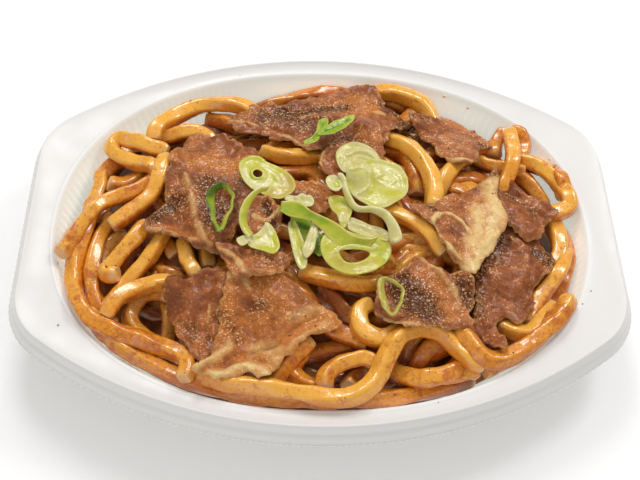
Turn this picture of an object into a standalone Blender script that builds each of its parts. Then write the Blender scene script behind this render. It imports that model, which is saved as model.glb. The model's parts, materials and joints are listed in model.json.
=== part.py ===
"""Yaki udon in its oval white tray.

Thick noodles lie heaped in a shallow moulded tray with a wide flange.  Thin slices of
stir-fried pork and cut pieces of green onion lie on top.  Sizes below are in millimetres,
and the meshes are in metres.  The origin is the middle of the tray's base, +X runs along
the tray and +Z is up.
"""

import math

import bmesh
import bpy
import numpy as np
from mathutils import Vector
from mathutils.geometry import delaunay_2d_cdt

MM = 0.001

# ---------------------------------------------------------------- driving sizes
RIM_HEIGHT = 34.0
END_HALF = 117.5
SIDE_HALF = 88.0
SIDE_RADIUS = 182.0
CORNER_RADIUS = 25.0
WELL = (107.0, 81.0)
WELL_DROP = 2.0
OVAL_POWER = 2.2
SKIRT_DROP = 8.0
SKIRT_FLARE = 4.0
LIP_DEPTH = 0.8
WALL = 1.1
FLOOR = 1.6
FLANGE_CROWN = 0.5
SHARP_ANGLE = 28
CLEARANCE = 0.35

# The skirt's bend: (outside the rim, below the rim), then the same bend on its inside.
SKIRT_BEND = (1.7, 4.2)
SKIRT_BEND_INSIDE = (1.7 - WALL, 4.4)
# The well's side inside and underneath: (in from the well's edge, height).
WELL_SIDE = ((0.0, RIM_HEIGHT - WELL_DROP), (7.5, 8.0), (11.0, 3.0), (16.0, FLOOR))
WELL_UNDERSIDE = ((15.5, 0.0), (9.8, 1.6), (6.4, 8.0), (-WALL, RIM_HEIGHT - WELL_DROP - WALL))

NOODLE_RADIUS = 3.8
NOODLE_SIDES = 6
ROUTE_STEP = 2.0
RING_STEP = 5.4
CROWN = 15.0
CROWN_POWER = 2.6
TUCK = 18.0
PRESS = 0.5
PUSH_LIMIT = 4.5
SAG = 0.1
SAG_ROUNDS = 200
TRAY_GAP = 0.15
GRID_MARGIN = 0.9
FLANGE_WIDTH = 9.0
# The bare mound: its foot as (in from the well's edge, height), then its depth below the
# crown at shares of the well's reach.
CORE_COLUMNS = 32
CORE_FOOT = ((16.5, FLOOR), (11.8, 3.2), (8.4, 8.0), (6.5, 14.0))
CORE_SHARES = (0.2, 0.4, 0.6, 0.76, 0.86)
CORE_DEPTHS = (5.0, 6.0, 8.0, 9.5, 14.0)
CORE_REACH = 0.9
CORE_MARGIN = 0.2

SLICE = 2.4
ONION_LEAF = 1.5
ONION_RING = 2.8
MEAT_LATTICE = 7.5
LEAF_LATTICE = 6.0
BORDER_SHARE = 0.8
KEEP_OFF_SHARE = 0.55
RING_POINTS = 14
STRIP_STEP = 4.0
MEAT_DROOP = 1.1
LEAF_DROOP = 0.7
RING_DROOP = 0.25
SWEEPS = 70
SETTLED_SWEEPS = 62
SAMPLES_ON_EDGE = 10
MERGE_DISTANCE = 2e-6

# One angle for each column of the tray, closest together round the corners.
QUARTER_ANGLES = (0, 8, 15, 19, 22.5, 26, 30, 36, 44, 53, 62, 71.5, 81)

# ---------------------------------------------------------------- noodles
# (depth under the heap's crown, tuck at start, tuck at end, route in plan), lowest first.
LEFT_UNDER = (
    (5, 0, 6, ((-92, 30), (-92, 19), (-94, 10), (-95, 1))),
    (6, 0, 3, ((-88, 20), (-82, 20), (-77, 23), (-71, 30))),
    (10, 0, 0, ((-70, -16), (-63, -9), (-58, -15))),
    (9, 0, 0, ((-47, -8), (-45, -21))),
    (6, 5, 4, ((-92, 28), (-88, 33), (-82, 35), (-77, 32))),
    (8, 3, 3, ((-79, -2), (-85, -7), (-89, -15), (-89, -28), (-85, -37))),
    (4, 6, 2, ((-89, 7), (-93, -7), (-95, -23), (-91, -36), (-83, -44))),
    (9, 2, 3, ((-61, -34), (-59, -42), (-60, -51))),
    (7, 3, 2, ((-59, -34), (-69, -32), (-74, -40), (-70, -47), (-62, -53))),
    (5, 4, 2, ((-61, -4), (-68, -17), (-78, -30), (-82, -40))),
    (5, 5, 3, ((-55, -9), (-53, -18), (-49, -26))),
)
FAR_UNDER = (
    (9, 2, 3, ((-73, 48), (-66, 45), (-59, 46))),
    (7, 2, 3, ((-73, 45), (-67, 46), (-59, 47))),
    (3, 3, 3, ((-70, 47), (-64, 47), (-55, 50))),
    (6, 3, 3, ((-50, 60), (-42, 57), (-34, 52))),
    (7, 2, 2, ((32, 52), (37, 58), (42, 64))),
    (8, 2, 2, ((43, 36), (50, 39), (57, 40))),
    (8, 2, 2, ((65, 39), (71, 42), (76, 45))),
)
NEAR_UNDER = (
    (10, 2, 2, ((13, -70), (27, -70), (44, -67), (57, -62))),
    (11, 2, 6, ((-18, -57), (-2, -55), (11, -53), (21, -51))),
    (9, 3, 3, ((-8, -56), (-12, -63), (-6, -69), (3, -67))),
    (8, 2, 2, ((-5, -53), (-12, -60), (-18, -67), (-23, -71))),
    (7, 2, 2, ((43, -65), (51, -63), (58, -62))),
    (6, 8, 2, ((25, -59), (29, -64), (39, -68), (49, -62))),
    (10, 2, 2, ((-1, -29), (6, -36), (11, -43))),
    (7, 2, 6, ((-4, -44), (8, -50), (16, -54))),
    (4, 3, 3, ((-9, -25), (2, -29), (13, -31), (23, -29))),
    (2, 2, 3, ((-50, -66), (-38, -71), (-26, -71), (-18, -73))),
    (9, 2, 2, ((9, -69), (11, -64), (16, -61))),
)
RIGHT_UNDER = (
    (7, 2, 2, ((93, 9), (96, -1), (95, -13), (88, -23), (82, -31))),
    (4, 2, 3, ((90, -25), (84, -32), (81, -41))),
    (5, 3, 3, ((68, -43), (76, -48), (83, -44), (90, -34))),
    (6, 3, 3, ((27, 39), (35, 33), (39, 23), (39, 14))),
    (5, 3, 5, ((63, 35), (56, 29), (50, 21), (46, 11))),
)
ON_TOP = (
    (3, 3, 3, ((-25, 34), (-17, 30), (-8, 29), (2, 31))),
    (0, 0, 3, ((-82, -45), (-77, -36), (-69, -32), (-58, -30))),
    (0, 3, 3, ((-79, -26), (-84, -25), (-81, -20), (-75, -12), (-70, -3))),
    (0, 0, 3, ((-102, -17), (-94, -2), (-86, 8), (-75, 13), (-67, 21))),
    (0, 0, 4, ((-84, -4), (-76, 2), (-69, 9), (-66, 17), (-64, 28))),
    (0, 3, 6, ((-88, -41), (-79, -48), (-68, -54), (-57, -57), (-51, -63), (-53, -70), (-58, -68))),
    (0, 5, 3, ((-71, 40), (-70, 46), (-64, 55), (-53, 62), (-42, 62), (-33, 61))),
    (5, 0, 6, ((-86, 50), (-81, 48), (-73, 44))),
    (0, 0, 4, ((-87, 46), (-88, 42), (-81, 36), (-69, 28))),
    (3, 5, 8, ((0, -71), (1, -66), (6, -62), (14, -60), (19, -62))),
    (2, 4, 3, ((18, -38), (13, -43), (14, -51), (22, -53), (29, -48))),
    (0, 3, 3, ((-28, -72), (-18, -75), (-6, -76), (6, -76), (16, -70), (22, -61),
               (29, -54), (39, -51), (47, -53), (53, -60), (61, -64))),
    (0, 0, 5, ((95, -35), (89, -44), (78, -54), (66, -61), (58, -60), (50, -49))),
    (2, 4, 4, ((83, 36), (92, 30), (99, 21), (102, 11), (98, 7), (91, 6))),
    (6, 3, 1, ((74, 38), (76, 45), (80, 51))),
    (1, 4, 0, ((85, 35), (87, 41), (86, 46), (82, 49))),
    (0, 4, 0, ((79, 31), (80, 39), (81, 47))),
    (0, 3, 3, ((23, 71), (32, 72), (40, 69), (50, 65))),
    (0, 3, 4, ((27, 41), (37, 33), (43, 22), (45, 12), (44, 3))),
    (0, 3, 4, ((23, 2), (33, -4), (41, -10), (47, -18))),
)
NOODLES = LEFT_UNDER + FAR_UNDER + NEAR_UNDER + RIGHT_UNDER + ON_TOP

# ---------------------------------------------------------------- meat slices, lowest first
MEAT = {
    "meat_far": ((-40, 49), (-34, 56), (-28, 60), (-22, 63), (-18, 61), (-11, 65), (-3, 69), (3, 72),
                 (10, 75), (19, 74), (24, 70), (29, 62), (37, 57), (38, 51), (33, 45), (28, 37),
                 (24, 32), (18, 37), (8, 35), (2, 31), (-4, 28), (-10, 32), (-17, 36), (-24, 40),
                 (-32, 41)),
    "meat_far_right": ((38, 55), (48, 56), (57, 52), (66, 49), (71, 44), (73, 39), (68, 37),
                       (66, 32), (62, 26), (54, 27), (48, 31), (46, 38), (41, 45)),
    "meat_right_low": ((74, 1), (84, -1), (88, -7), (92, -15), (89, -23), (82, -30), (80, -38),
                       (77, -45), (73, -46), (70, -43), (66, -45), (67, -51), (67, -59), (62, -55),
                       (56, -48), (58, -43), (57, -35), (60, -26), (65, -16), (70, -6)),
    "meat_right_high": ((73, 26), (79, 23), (84, 17), (89, 12), (95, 8), (96, 3), (91, -1),
                        (88, -7), (82, -9), (76, -5), (72, 3), (71, 13), (70, 20)),
    "meat_left": ((-53, 45), (-46, 42), (-37, 37), (-27, 29), (-25, 19), (-28, 7), (-33, -7),
                  (-38, -19), (-46, -19), (-55, -14), (-62, -11), (-70, -10), (-69, -3), (-63, 5),
                  (-63, 14), (-62, 24), (-59, 34)),
    "meat_middle": ((-14, 12), (-5, 13), (3, 9), (4, 1), (-3, -3), (-12, -3), (-18, 1), (-17, 7)),
    "meat_middle_small": ((-32, 1), (-24, 3), (-17, -1), (-16, -9), (-20, -15), (-28, -15),
                          (-33, -9)),
    "meat_back": ((1, 29), (6, 35), (11, 39), (14, 44), (18, 46), (23, 43), (25, 35), (26, 27),
                  (24, 19), (16, 13), (6, 13), (0, 17), (-2, 23)),
    "meat_fatty": ((72, 26), (67, 19), (59, 13), (50, 8), (43, 1), (34, 0), (37, -5), (43, -10),
                   (45, -17), (51, -24), (57, -28), (61, -23), (66, -16), (72, -6), (74, 3),
                   (71, 11), (73, 19)),
    "meat_round": ((20, -31), (27, -29), (33, -24), (36, -20), (41, -23), (47, -27), (53, -27),
                   (57, -31), (58, -38), (55, -44), (55, -50), (47, -52), (38, -52), (29, -52),
                   (22, -49), (18, -44), (20, -38)),
    "meat_near_lobe": ((-60, -32), (-53, -31), (-47, -28), (-41, -26), (-36, -28), (-34, -34),
                       (-38, -46), (-42, -59), (-46, -67), (-50, -65), (-55, -58), (-58, -50),
                       (-60, -41)),
    "meat_near": ((-36, -29), (-30, -30), (-22, -28), (-15, -30), (-8, -36), (-1, -41), (7, -47),
                  (3, -51), (-4, -54), (-11, -59), (-17, -66), (-21, -72), (-28, -69), (-35, -71),
                  (-43, -71), (-48, -68), (-42, -63), (-40, -53), (-39, -43), (-38, -35)),
    "meat_neck": ((-42, -18), (-35, -18), (-28, -21), (-19, -21), (-14, -25), (-17, -31),
                  (-26, -33), (-34, -32), (-37, -26)),
}

# ---------------------------------------------------------------- green onion, lowest first
ONION_LEAVES = {
    "onion_wedge": ((-34, 19), (-30, 24), (-24, 23), (-18, 18), (-13, 13), (-12, 7), (-16, 4),
                    (-22, 6), (-28, 8), (-33, 13)),
    "onion_heart": ((-32, -16), (-27, -13), (-23, -15), (-20, -10), (-17, -13), (-17, -20),
                    (-23, -23), (-29, -21)),
    "onion_disc_back": ((5, 23), (7, 29), (13, 32), (19, 30), (22, 24), (19, 17), (12, 15),
                        (7, 18)),
    "onion_disc_front": ((11, 10), (14, 16), (20, 19), (27, 20), (34, 17), (35, 9), (32, 2),
                         (25, -1), (17, 0), (12, 4)),
    "onion_fold": ((-14, -15), (-8, -16), (-2, -15), (-3, -23), (-6, -29), (-9, -29), (-12, -25)),
    "onion_blade": ((-17, -2), (-9, 0), (-1, -2), (7, -9), (14, -15), (10, -18), (2, -15),
                    (-5, -11), (-12, -9), (-17, -6)),
}
# name: (middle, half sizes, hole's shift, hole's half sizes)
ONION_RINGS = {
    "onion_ring_dark": ((-40, -3), (6.0, 12.0), (0.5, 0.5), (3.6, 9.4)),
    "onion_ring_small": ((4, 6), (4.4, 4.6), (0, 0), (1.9, 2.1)),
    "onion_loop": ((12, -23), (15.0, 8.5), (1.5, -2.2), (8.5, 2.8)),
    "onion_ring_olive": ((24, -41), (5.2, 8.2), (0, 0.6), (3.4, 6.0)),
}
# name: (width, route)
ONION_STRIPS = {
    "onion_half_ring": (3.4, ((-22, 5), (-27, 3), (-30, -2), (-31, -8))),
    "onion_curl": (2.6, ((6, 14), (8, 7), (11, 1), (17, -3), (24, -6), (28, -11), (29, -16), (26, -19))),
    "onion_sprig": (2.8, ((1, 48), (-1, 41), (0, 34), (4, 34), (9, 39), (13, 45))),
}


# ---------------------------------------------------------------- helpers
def material(name, colour, roughness):
    """Return a plain Principled material."""
    made = bpy.data.materials.new(name)
    made.use_nodes = True
    shader = made.node_tree.nodes["Principled BSDF"]
    shader.inputs["Base Color"].default_value = (*colour, 1.0)
    shader.inputs["Roughness"].default_value = roughness
    shader.inputs["Metallic"].default_value = 0.0
    return made


def add_object(name, bm, finish, collection=None):
    """Turn a bmesh measured in millimetres into a named object in metres."""
    bmesh.ops.scale(bm, vec=(MM, MM, MM), verts=bm.verts)
    bmesh.ops.recalc_face_normals(bm, faces=bm.faces)
    mesh = bpy.data.meshes.new(name)
    bm.to_mesh(mesh)
    bm.free()
    if finish is not None:
        mesh.materials.append(finish)
    made = bpy.data.objects.new(name, mesh)
    (collection or bpy.context.scene.collection).objects.link(made)
    return made


def bridge_rows(bm, rows, closed_ends=True):
    """Join rings of equal count with quads, then cap the first and last ring if wanted."""
    count = len(rows[0])
    for near, far in zip(rows, rows[1:]):
        for k in range(count):
            after = (k + 1) % count
            bm.faces.new((near[k], near[after], far[after], far[k]))
    if closed_ends:
        bm.faces.new(rows[0])
        bm.faces.new(rows[-1])


def smooth_route(points, step, closed=False):
    """Return evenly spaced points on a Catmull-Rom curve through the given ones."""
    knots = [np.array(point, float) for point in points]
    if closed:
        knots = [knots[-1], *knots, knots[0], knots[1]]
    else:
        knots = [2 * knots[0] - knots[1], *knots, 2 * knots[-1] - knots[-2]]
    fine = []
    for a, b, c, d in zip(knots, knots[1:], knots[2:], knots[3:]):
        for t in np.linspace(0.0, 1.0, 16, endpoint=False):
            fine.append(0.5 * (2 * b + (c - a) * t + (2 * a - 5 * b + 4 * c - d) * t**2
                               + (3 * b - a - 3 * c + d) * t**3))
    fine.append(knots[-2])
    fine = np.array(fine)
    travelled = np.r_[0.0, np.cumsum(np.linalg.norm(np.diff(fine, axis=0), axis=1))]
    count = max(3, round(travelled[-1] / step) + 1)
    places = np.linspace(0.0, travelled[-1], count)
    if closed:
        places = places[:-1]
    return np.column_stack([np.interp(places, travelled, fine[:, k]) for k in range(2)])


# ---------------------------------------------------------------- tray
def oval_reach(angle, half_x, half_y):
    """Distance from the middle to a rounded oval in one direction."""
    across = abs(math.cos(angle)) / half_x
    along = abs(math.sin(angle)) / half_y
    return (across**OVAL_POWER + along**OVAL_POWER) ** (-1.0 / OVAL_POWER)


def rim_reach(angle, grow):
    """Distance from the middle to the rim: straight ends, round corners, bowed sides."""
    ux = abs(math.cos(angle))
    uy = abs(math.sin(angle))
    bow_middle = SIDE_HALF - SIDE_RADIUS
    corner_x = END_HALF - CORNER_RADIUS
    corner_y = bow_middle + math.sqrt((SIDE_RADIUS - CORNER_RADIUS) ** 2 - corner_x**2)
    if math.atan2(uy, ux) <= math.atan2(corner_y, END_HALF + grow):
        return (END_HALF + grow) / ux
    stretch = (SIDE_RADIUS + grow) / (SIDE_RADIUS - CORNER_RADIUS)
    bow_end = (corner_x * stretch, bow_middle + (corner_y - bow_middle) * stretch)
    if uy * bow_end[0] >= ux * bow_end[1]:
        part = uy * bow_middle
        return part + math.sqrt(part**2 - bow_middle**2 + (SIDE_RADIUS + grow) ** 2)
    part = ux * corner_x + uy * corner_y
    return part + math.sqrt(part**2 - corner_x**2 - corner_y**2 + (CORNER_RADIUS + grow) ** 2)


def tray_angles():
    """All column angles round the tray, mirrored from the quarter."""
    quarter = [math.radians(angle) for angle in QUARTER_ANGLES]
    half = quarter + [math.pi / 2] + [math.pi - angle for angle in reversed(quarter[1:])]
    return half + [math.pi + angle for angle in half]


def build_tray(finish):
    """One closed shell: skirt, flange, well and floor, with the underside a wall below."""
    well_x, well_y = WELL
    skirt = RIM_HEIGHT - SKIRT_DROP

    def rim(grow, height):
        """A ring that follows the rim."""
        return [(rim_reach(angle, grow), angle, height) for angle in tray_angles()]

    def oval(inset, height):
        """A ring that follows the well's edge."""
        return [(oval_reach(angle, well_x - inset, well_y - inset), angle, height)
                for angle in tray_angles()]

    def flange_middle(height):
        """A ring halfway between the rim and the well's edge."""
        return [(0.5 * (rim_reach(angle, 0.0) + oval_reach(angle, well_x, well_y)), angle, height)
                for angle in tray_angles()]

    outside = [
        rim(SKIRT_FLARE, skirt - LIP_DEPTH),
        rim(SKIRT_FLARE, skirt),
        rim(SKIRT_BEND[0], RIM_HEIGHT - SKIRT_BEND[1]),
        rim(0.0, RIM_HEIGHT),
        flange_middle(RIM_HEIGHT - WELL_DROP + FLANGE_CROWN),
        *[oval(inset, height) for inset, height in WELL_SIDE],
    ]
    underside = [
        *[oval(inset, height) for inset, height in WELL_UNDERSIDE],
        rim(-WALL, RIM_HEIGHT - WALL),
        rim(SKIRT_BEND_INSIDE[0], RIM_HEIGHT - SKIRT_BEND_INSIDE[1]),
        rim(SKIRT_FLARE - WALL, skirt - LIP_DEPTH),
    ]
    bm = bmesh.new()
    rows = []
    for ring in outside + underside:
        rows.append([bm.verts.new((reach * math.cos(angle), reach * math.sin(angle), height))
                     for reach, angle, height in ring])
    floor_row = len(outside) - 1
    bridge_rows(bm, rows[:floor_row + 1], closed_ends=False)
    bridge_rows(bm, rows[floor_row + 1:], closed_ends=False)
    bridge_rows(bm, [rows[-1], rows[0]], closed_ends=False)
    bm.faces.new(rows[floor_row])
    bm.faces.new(rows[floor_row + 1])
    tray = add_object("tray", bm, finish)
    tray.data.shade_smooth()
    tray.data.set_sharp_from_angle(angle=math.radians(SHARP_ANGLE))
    return tray


# ---------------------------------------------------------------- the heap's height field
def crown(x, y):
    """Height of the heap's outer surface."""
    reach = np.hypot(np.asarray(x) / WELL[0], np.asarray(y) / WELL[1])
    return RIM_HEIGHT - WELL_DROP + CROWN * np.clip(1.0 - reach**CROWN_POWER, 0.0, 1.0)


class Relief:
    """Heights of all that has been laid so far, on a one-millimetre grid."""

    half_x = 124
    half_y = 94

    def __init__(self):
        xs = np.arange(-self.half_x, self.half_x + 1.0)
        ys = np.arange(-self.half_y, self.half_y + 1.0)
        self.x, self.y = np.meshgrid(xs, ys, indexing="ij")
        distance = np.hypot(self.x, self.y) + 1e-9
        self.share = ((np.abs(self.x) / WELL[0]) ** OVAL_POWER
                      + (np.abs(self.y) / WELL[1]) ** OVAL_POWER) ** (1.0 / OVAL_POWER)
        inset = distance / np.maximum(self.share, 1e-9) - distance - GRID_MARGIN
        side = ((-FLANGE_WIDTH, RIM_HEIGHT), *WELL_SIDE)
        self.tray = CLEARANCE + np.interp(inset, *zip(*side))
        self.z = self.tray.copy()

    def patch(self, x, y, reach):
        """Slices of the grid round a point."""
        low_x = max(int(math.floor(x - reach)) + self.half_x, 0)
        low_y = max(int(math.floor(y - reach)) + self.half_y, 0)
        high_x = int(math.ceil(x + reach)) + self.half_x + 1
        high_y = int(math.ceil(y + reach)) + self.half_y + 1
        return slice(low_x, high_x), slice(low_y, high_y)

    def rest(self, ground, x, y, radius):
        """Lowest centre height of a ball that rests on a ground."""
        here = self.patch(x, y, radius)
        off = (self.x[here] - x) ** 2 + (self.y[here] - y) ** 2
        inside = off < radius**2
        return (ground[here][inside] + np.sqrt(radius**2 - off[inside])).max()

    def add_tube(self, centres, radius):
        """Raise the relief to the top of a tube."""
        for start, end in zip(centres, centres[1:]):
            for t in np.linspace(0.0, 1.0, 13):
                x, y, z = start + (end - start) * t
                here = self.patch(x, y, radius)
                off = (self.x[here] - x) ** 2 + (self.y[here] - y) ** 2
                top = np.where(off < radius**2, z + np.sqrt(np.maximum(radius**2 - off, 0.0)), -1.0)
                self.z[here] = np.maximum(self.z[here], top)

    def under(self, points):
        """Highest relief in the grid square that holds each point."""
        i = np.floor(points[:, 0]).astype(int) + self.half_x
        j = np.floor(points[:, 1]).astype(int) + self.half_y
        return np.maximum.reduce([self.z[i, j], self.z[i + 1, j], self.z[i, j + 1],
                                  self.z[i + 1, j + 1]])

    def add_points(self, points, heights):
        """Raise the corners of each point's grid square."""
        i = np.floor(points[:, 0]).astype(int) + self.half_x
        j = np.floor(points[:, 1]).astype(int) + self.half_y
        for di, dj in ((0, 0), (1, 0), (0, 1), (1, 1)):
            np.maximum.at(self.z, (i + di, j + dj), heights)


# ---------------------------------------------------------------- noodles
def lay_noodle(relief, depth, tuck_start, tuck_end, route):
    """Centreline of a noodle: near the crown, tucked at its ends, over what lies below."""
    plan = smooth_route(route, ROUTE_STEP)
    along = np.arange(len(plan)) * ROUTE_STEP
    height = crown(plan[:, 0], plan[:, 1]) - NOODLE_RADIUS - depth
    height = height - tuck_start * np.clip(1.0 - along / TUCK, 0.0, 1.0) ** 2
    height = height - tuck_end * np.clip(1.0 - (along[-1] - along) / TUCK, 0.0, 1.0) ** 2
    rest = np.array([relief.rest(relief.z, x, y, NOODLE_RADIUS) for x, y in plan])
    tray = np.array([relief.rest(relief.tray, x, y, NOODLE_RADIUS) for x, y in plan])
    floor = np.clip(rest - PRESS * NOODLE_RADIUS, height, height + PUSH_LIMIT)
    floor = np.maximum(floor, tray + TRAY_GAP)
    height = floor
    for _ in range(SAG_ROUNDS):
        padded = np.r_[height[0], height, height[-1]]
        height = np.maximum(floor, 0.5 * (padded[:-2] + padded[2:]) - SAG)
    return np.column_stack([plan, height])


def add_noodle(relief, collection, index, line):
    """A tube of a few sides along a centreline."""
    count = max(3, round(ROUTE_STEP * (len(line) - 1) / RING_STEP) + 1)
    picks = np.linspace(0, len(line) - 1, count).round().astype(int)
    centres = line[picks]
    tangents = np.gradient(centres, axis=0)
    bm = bmesh.new()
    rows = []
    for centre, tangent in zip(centres, tangents):
        forward = Vector(tangent).normalized()
        side = forward.cross(Vector((0.0, 0.0, 1.0))).normalized()
        rise = side.cross(forward)
        ring = []
        for k in range(NOODLE_SIDES):
            turn = 2.0 * math.pi * (k + 0.5) / NOODLE_SIDES
            place = Vector(centre) + NOODLE_RADIUS * (math.cos(turn) * side + math.sin(turn) * rise)
            ring.append(bm.verts.new(place))
        rows.append(ring)
    bridge_rows(bm, rows)
    relief.add_tube(centres, NOODLE_RADIUS)
    return add_object(f"strand_{index:02d}", bm, None, collection)


def build_core(finish):
    """The bare mound that the noodles are fused to."""
    well_x, well_y = WELL
    rows = []
    bm = bmesh.new()
    for inset, height in CORE_FOOT:
        ring = []
        for k in range(CORE_COLUMNS):
            angle = 2.0 * math.pi * k / CORE_COLUMNS
            reach = oval_reach(angle, well_x - inset, well_y - inset)
            ring.append(bm.verts.new((reach * math.cos(angle), reach * math.sin(angle),
                                      height + CLEARANCE)))
        rows.append(ring)
    for share, depth in zip(reversed(CORE_SHARES), reversed(CORE_DEPTHS)):
        ring = []
        for k in range(CORE_COLUMNS):
            angle = 2.0 * math.pi * k / CORE_COLUMNS
            reach = share * oval_reach(angle, well_x, well_y)
            x = reach * math.cos(angle)
            y = reach * math.sin(angle)
            ring.append(bm.verts.new((x, y, float(crown(x, y)) - depth)))
        rows.append(ring)
    bridge_rows(bm, rows)
    return add_object("noodles", bm, finish)


def keep_largest_shell(mesh):
    """Drop loose scraps and sealed hollows, keeping the one outer skin."""
    bm = bmesh.new()
    bm.from_mesh(mesh)
    bmesh.ops.remove_doubles(bm, verts=bm.verts, dist=MERGE_DISTANCE)
    bmesh.ops.dissolve_degenerate(bm, dist=MERGE_DISTANCE, edges=bm.edges)
    seen = set()
    shells = []
    for first in bm.faces:
        if first in seen:
            continue
        seen.add(first)
        shell = [first]
        for face in shell:
            for edge in face.edges:
                for other in edge.link_faces:
                    if other not in seen:
                        seen.add(other)
                        shell.append(other)
        shells.append(shell)
    shells.sort(key=len)
    scraps = [face for shell in shells[:-1] for face in shell]
    bmesh.ops.delete(bm, geom=scraps, context="FACES")
    bmesh.ops.triangulate(bm, faces=bm.faces)
    bm.to_mesh(mesh)
    bm.free()


def build_noodles(relief, finish):
    """Fuse every noodle to the core with one union."""
    core = build_core(finish)
    strands = bpy.data.collections.new("strands")
    bpy.context.scene.collection.children.link(strands)
    for index, (depth, tuck_start, tuck_end, route) in enumerate(NOODLES):
        line = lay_noodle(relief, depth, tuck_start, tuck_end, route)
        add_noodle(relief, strands, index, line)
    union = core.modifiers.new("fuse", "BOOLEAN")
    union.operation = "UNION"
    union.operand_type = "COLLECTION"
    union.solver = "EXACT"
    union.use_self = True
    union.collection = strands
    view = bpy.context.evaluated_depsgraph_get()
    fused = bpy.data.meshes.new_from_object(core.evaluated_get(view))
    core.modifiers.remove(union)
    core.data = fused
    for strand in list(strands.objects):
        bpy.data.objects.remove(strand)
    bpy.data.collections.remove(strands)
    keep_largest_shell(fused)
    bare = crown(relief.x, relief.y) - np.interp(relief.share, CORE_SHARES, CORE_DEPTHS)
    relief.z = np.maximum(relief.z, np.where(relief.share < CORE_REACH, bare + CORE_MARGIN, 0.0))
    return core


# ---------------------------------------------------------------- toppings
def leaf_plan(outline, spacing):
    """Plan points and triangles of an outline with an even lattice inside."""
    border = smooth_route(outline, BORDER_SHARE * spacing, closed=True)
    low = border.min(axis=0)
    high = border.max(axis=0)
    ahead = np.roll(border, -1, axis=0)
    inner = []
    row_gap = math.sin(math.radians(60)) * spacing
    for row, y in enumerate(np.arange(low[1], high[1], row_gap)):
        for x in np.arange(low[0] + 0.5 * spacing * (row % 2), high[0], spacing):
            crosses = (border[:, 1] > y) != (ahead[:, 1] > y)
            cut = border[:, 0] + (y - border[:, 1]) * (ahead[:, 0] - border[:, 0]) / np.where(
                crosses, ahead[:, 1] - border[:, 1], 1.0)
            apart = np.hypot(border[:, 0] - x, border[:, 1] - y).min()
            if (crosses & (x < cut)).sum() % 2 and apart > KEEP_OFF_SHARE * spacing:
                inner.append((x, y))
    points = [Vector(point) for point in border.tolist() + inner]
    edges = [(k, (k + 1) % len(border)) for k in range(len(border))]
    points, _, triangles, *_ = delaunay_2d_cdt(points, edges, [], 1, 1e-4)
    return np.array([tuple(point) for point in points]), np.array(triangles)


def ring_plan(middle, half, shift, hole):
    """Plan points and triangles of a flat ring with an off-centre hole."""
    count = RING_POINTS
    points = []
    for (half_x, half_y), (move_x, move_y) in ((half, (0.0, 0.0)), (hole, shift)):
        for k in range(count):
            angle = 2.0 * math.pi * k / count
            points.append((middle[0] + move_x + half_x * math.cos(angle),
                           middle[1] + move_y + half_y * math.sin(angle)))
    triangles = []
    for k in range(count):
        after = (k + 1) % count
        triangles.append((k, after, count + after))
        triangles.append((k, count + after, count + k))
    return np.array(points), np.array(triangles)


def strip_plan(width, route):
    """Plan points and triangles of a ribbon along a route."""
    line = smooth_route(route, STRIP_STEP)
    tangent = np.gradient(line, axis=0)
    tangent /= np.linalg.norm(tangent, axis=1)[:, None]
    side = np.column_stack([-tangent[:, 1], tangent[:, 0]]) * 0.5 * width
    points = np.vstack([line - side, line + side])
    count = len(line)
    triangles = []
    for k in range(count - 1):
        triangles.append((k, k + 1, count + k + 1))
        triangles.append((k, count + k + 1, count + k))
    return points, np.array(triangles)


def drape(relief, points, triangles, droop):
    """Heights that lay a stiff thin sheet on the relief without touching it."""
    steps = np.linspace(0.0, 1.0, SAMPLES_ON_EDGE)
    weights = np.array([(a, b, 1.0 - a - b) for a in steps for b in steps if a + b <= 1.0 + 1e-9])
    corners = points[triangles]
    samples = np.einsum("sw,twk->tsk", weights, corners)
    ground = relief.under(samples.reshape(-1, 2)).reshape(len(triangles), -1) + CLEARANCE
    links = np.vstack([triangles[:, (0, 1)], triangles[:, (1, 2)], triangles[:, (2, 0)]])
    links = np.vstack([links, links[:, ::-1]])
    height = np.full(len(points), ground.max())
    for sweep in range(SWEEPS):
        if sweep < SETTLED_SWEEPS:
            total = np.zeros(len(points))
            count = np.zeros(len(points))
            np.add.at(total, links[:, 0], height[links[:, 1]])
            np.add.at(count, links[:, 0], 1.0)
            height = 0.5 * (height + total / count - droop)
        for _ in range(3):
            lack = ground - height[triangles] @ weights.T
            worst = lack.argmax(axis=1)
            need = np.maximum(lack[np.arange(len(triangles)), worst], 0.0)
            share = weights[worst]
            gain = need[:, None] * share / (share**2).sum(axis=1)[:, None]
            raise_by = np.zeros(len(points))
            np.maximum.at(raise_by, triangles.ravel(), gain.ravel())
            height = height + raise_by
    lack = (ground - height[triangles] @ weights.T).max()
    return height + max(lack, 0.0), samples, weights


def add_topping(relief, name, plan, thickness, finish, droop):
    """A thin wavy solid laid on the heap, both faces split into triangles alike."""
    points, triangles = plan
    height, samples, weights = drape(relief, points, triangles, droop)
    bm = bmesh.new()
    low = [bm.verts.new((x, y, z)) for (x, y), z in zip(points, height)]
    high = [bm.verts.new((x, y, z + thickness)) for (x, y), z in zip(points, height)]
    used = {}
    for a, b, c in triangles.tolist():
        bm.faces.new((high[a], high[b], high[c]))
        bm.faces.new((low[c], low[b], low[a]))
        for edge in ((a, b), (b, c), (c, a)):
            used[edge] = used.get(edge, 0) + 1
    for a, b in used:
        if (b, a) not in used:
            bm.faces.new((low[a], low[b], high[b], high[a]))
    bmesh.ops.triangulate(bm, faces=bm.faces)
    tops = height[triangles] @ weights.T + thickness
    relief.add_points(samples.reshape(-1, 2), tops.ravel())
    return add_object(name, bm, finish)


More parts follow.
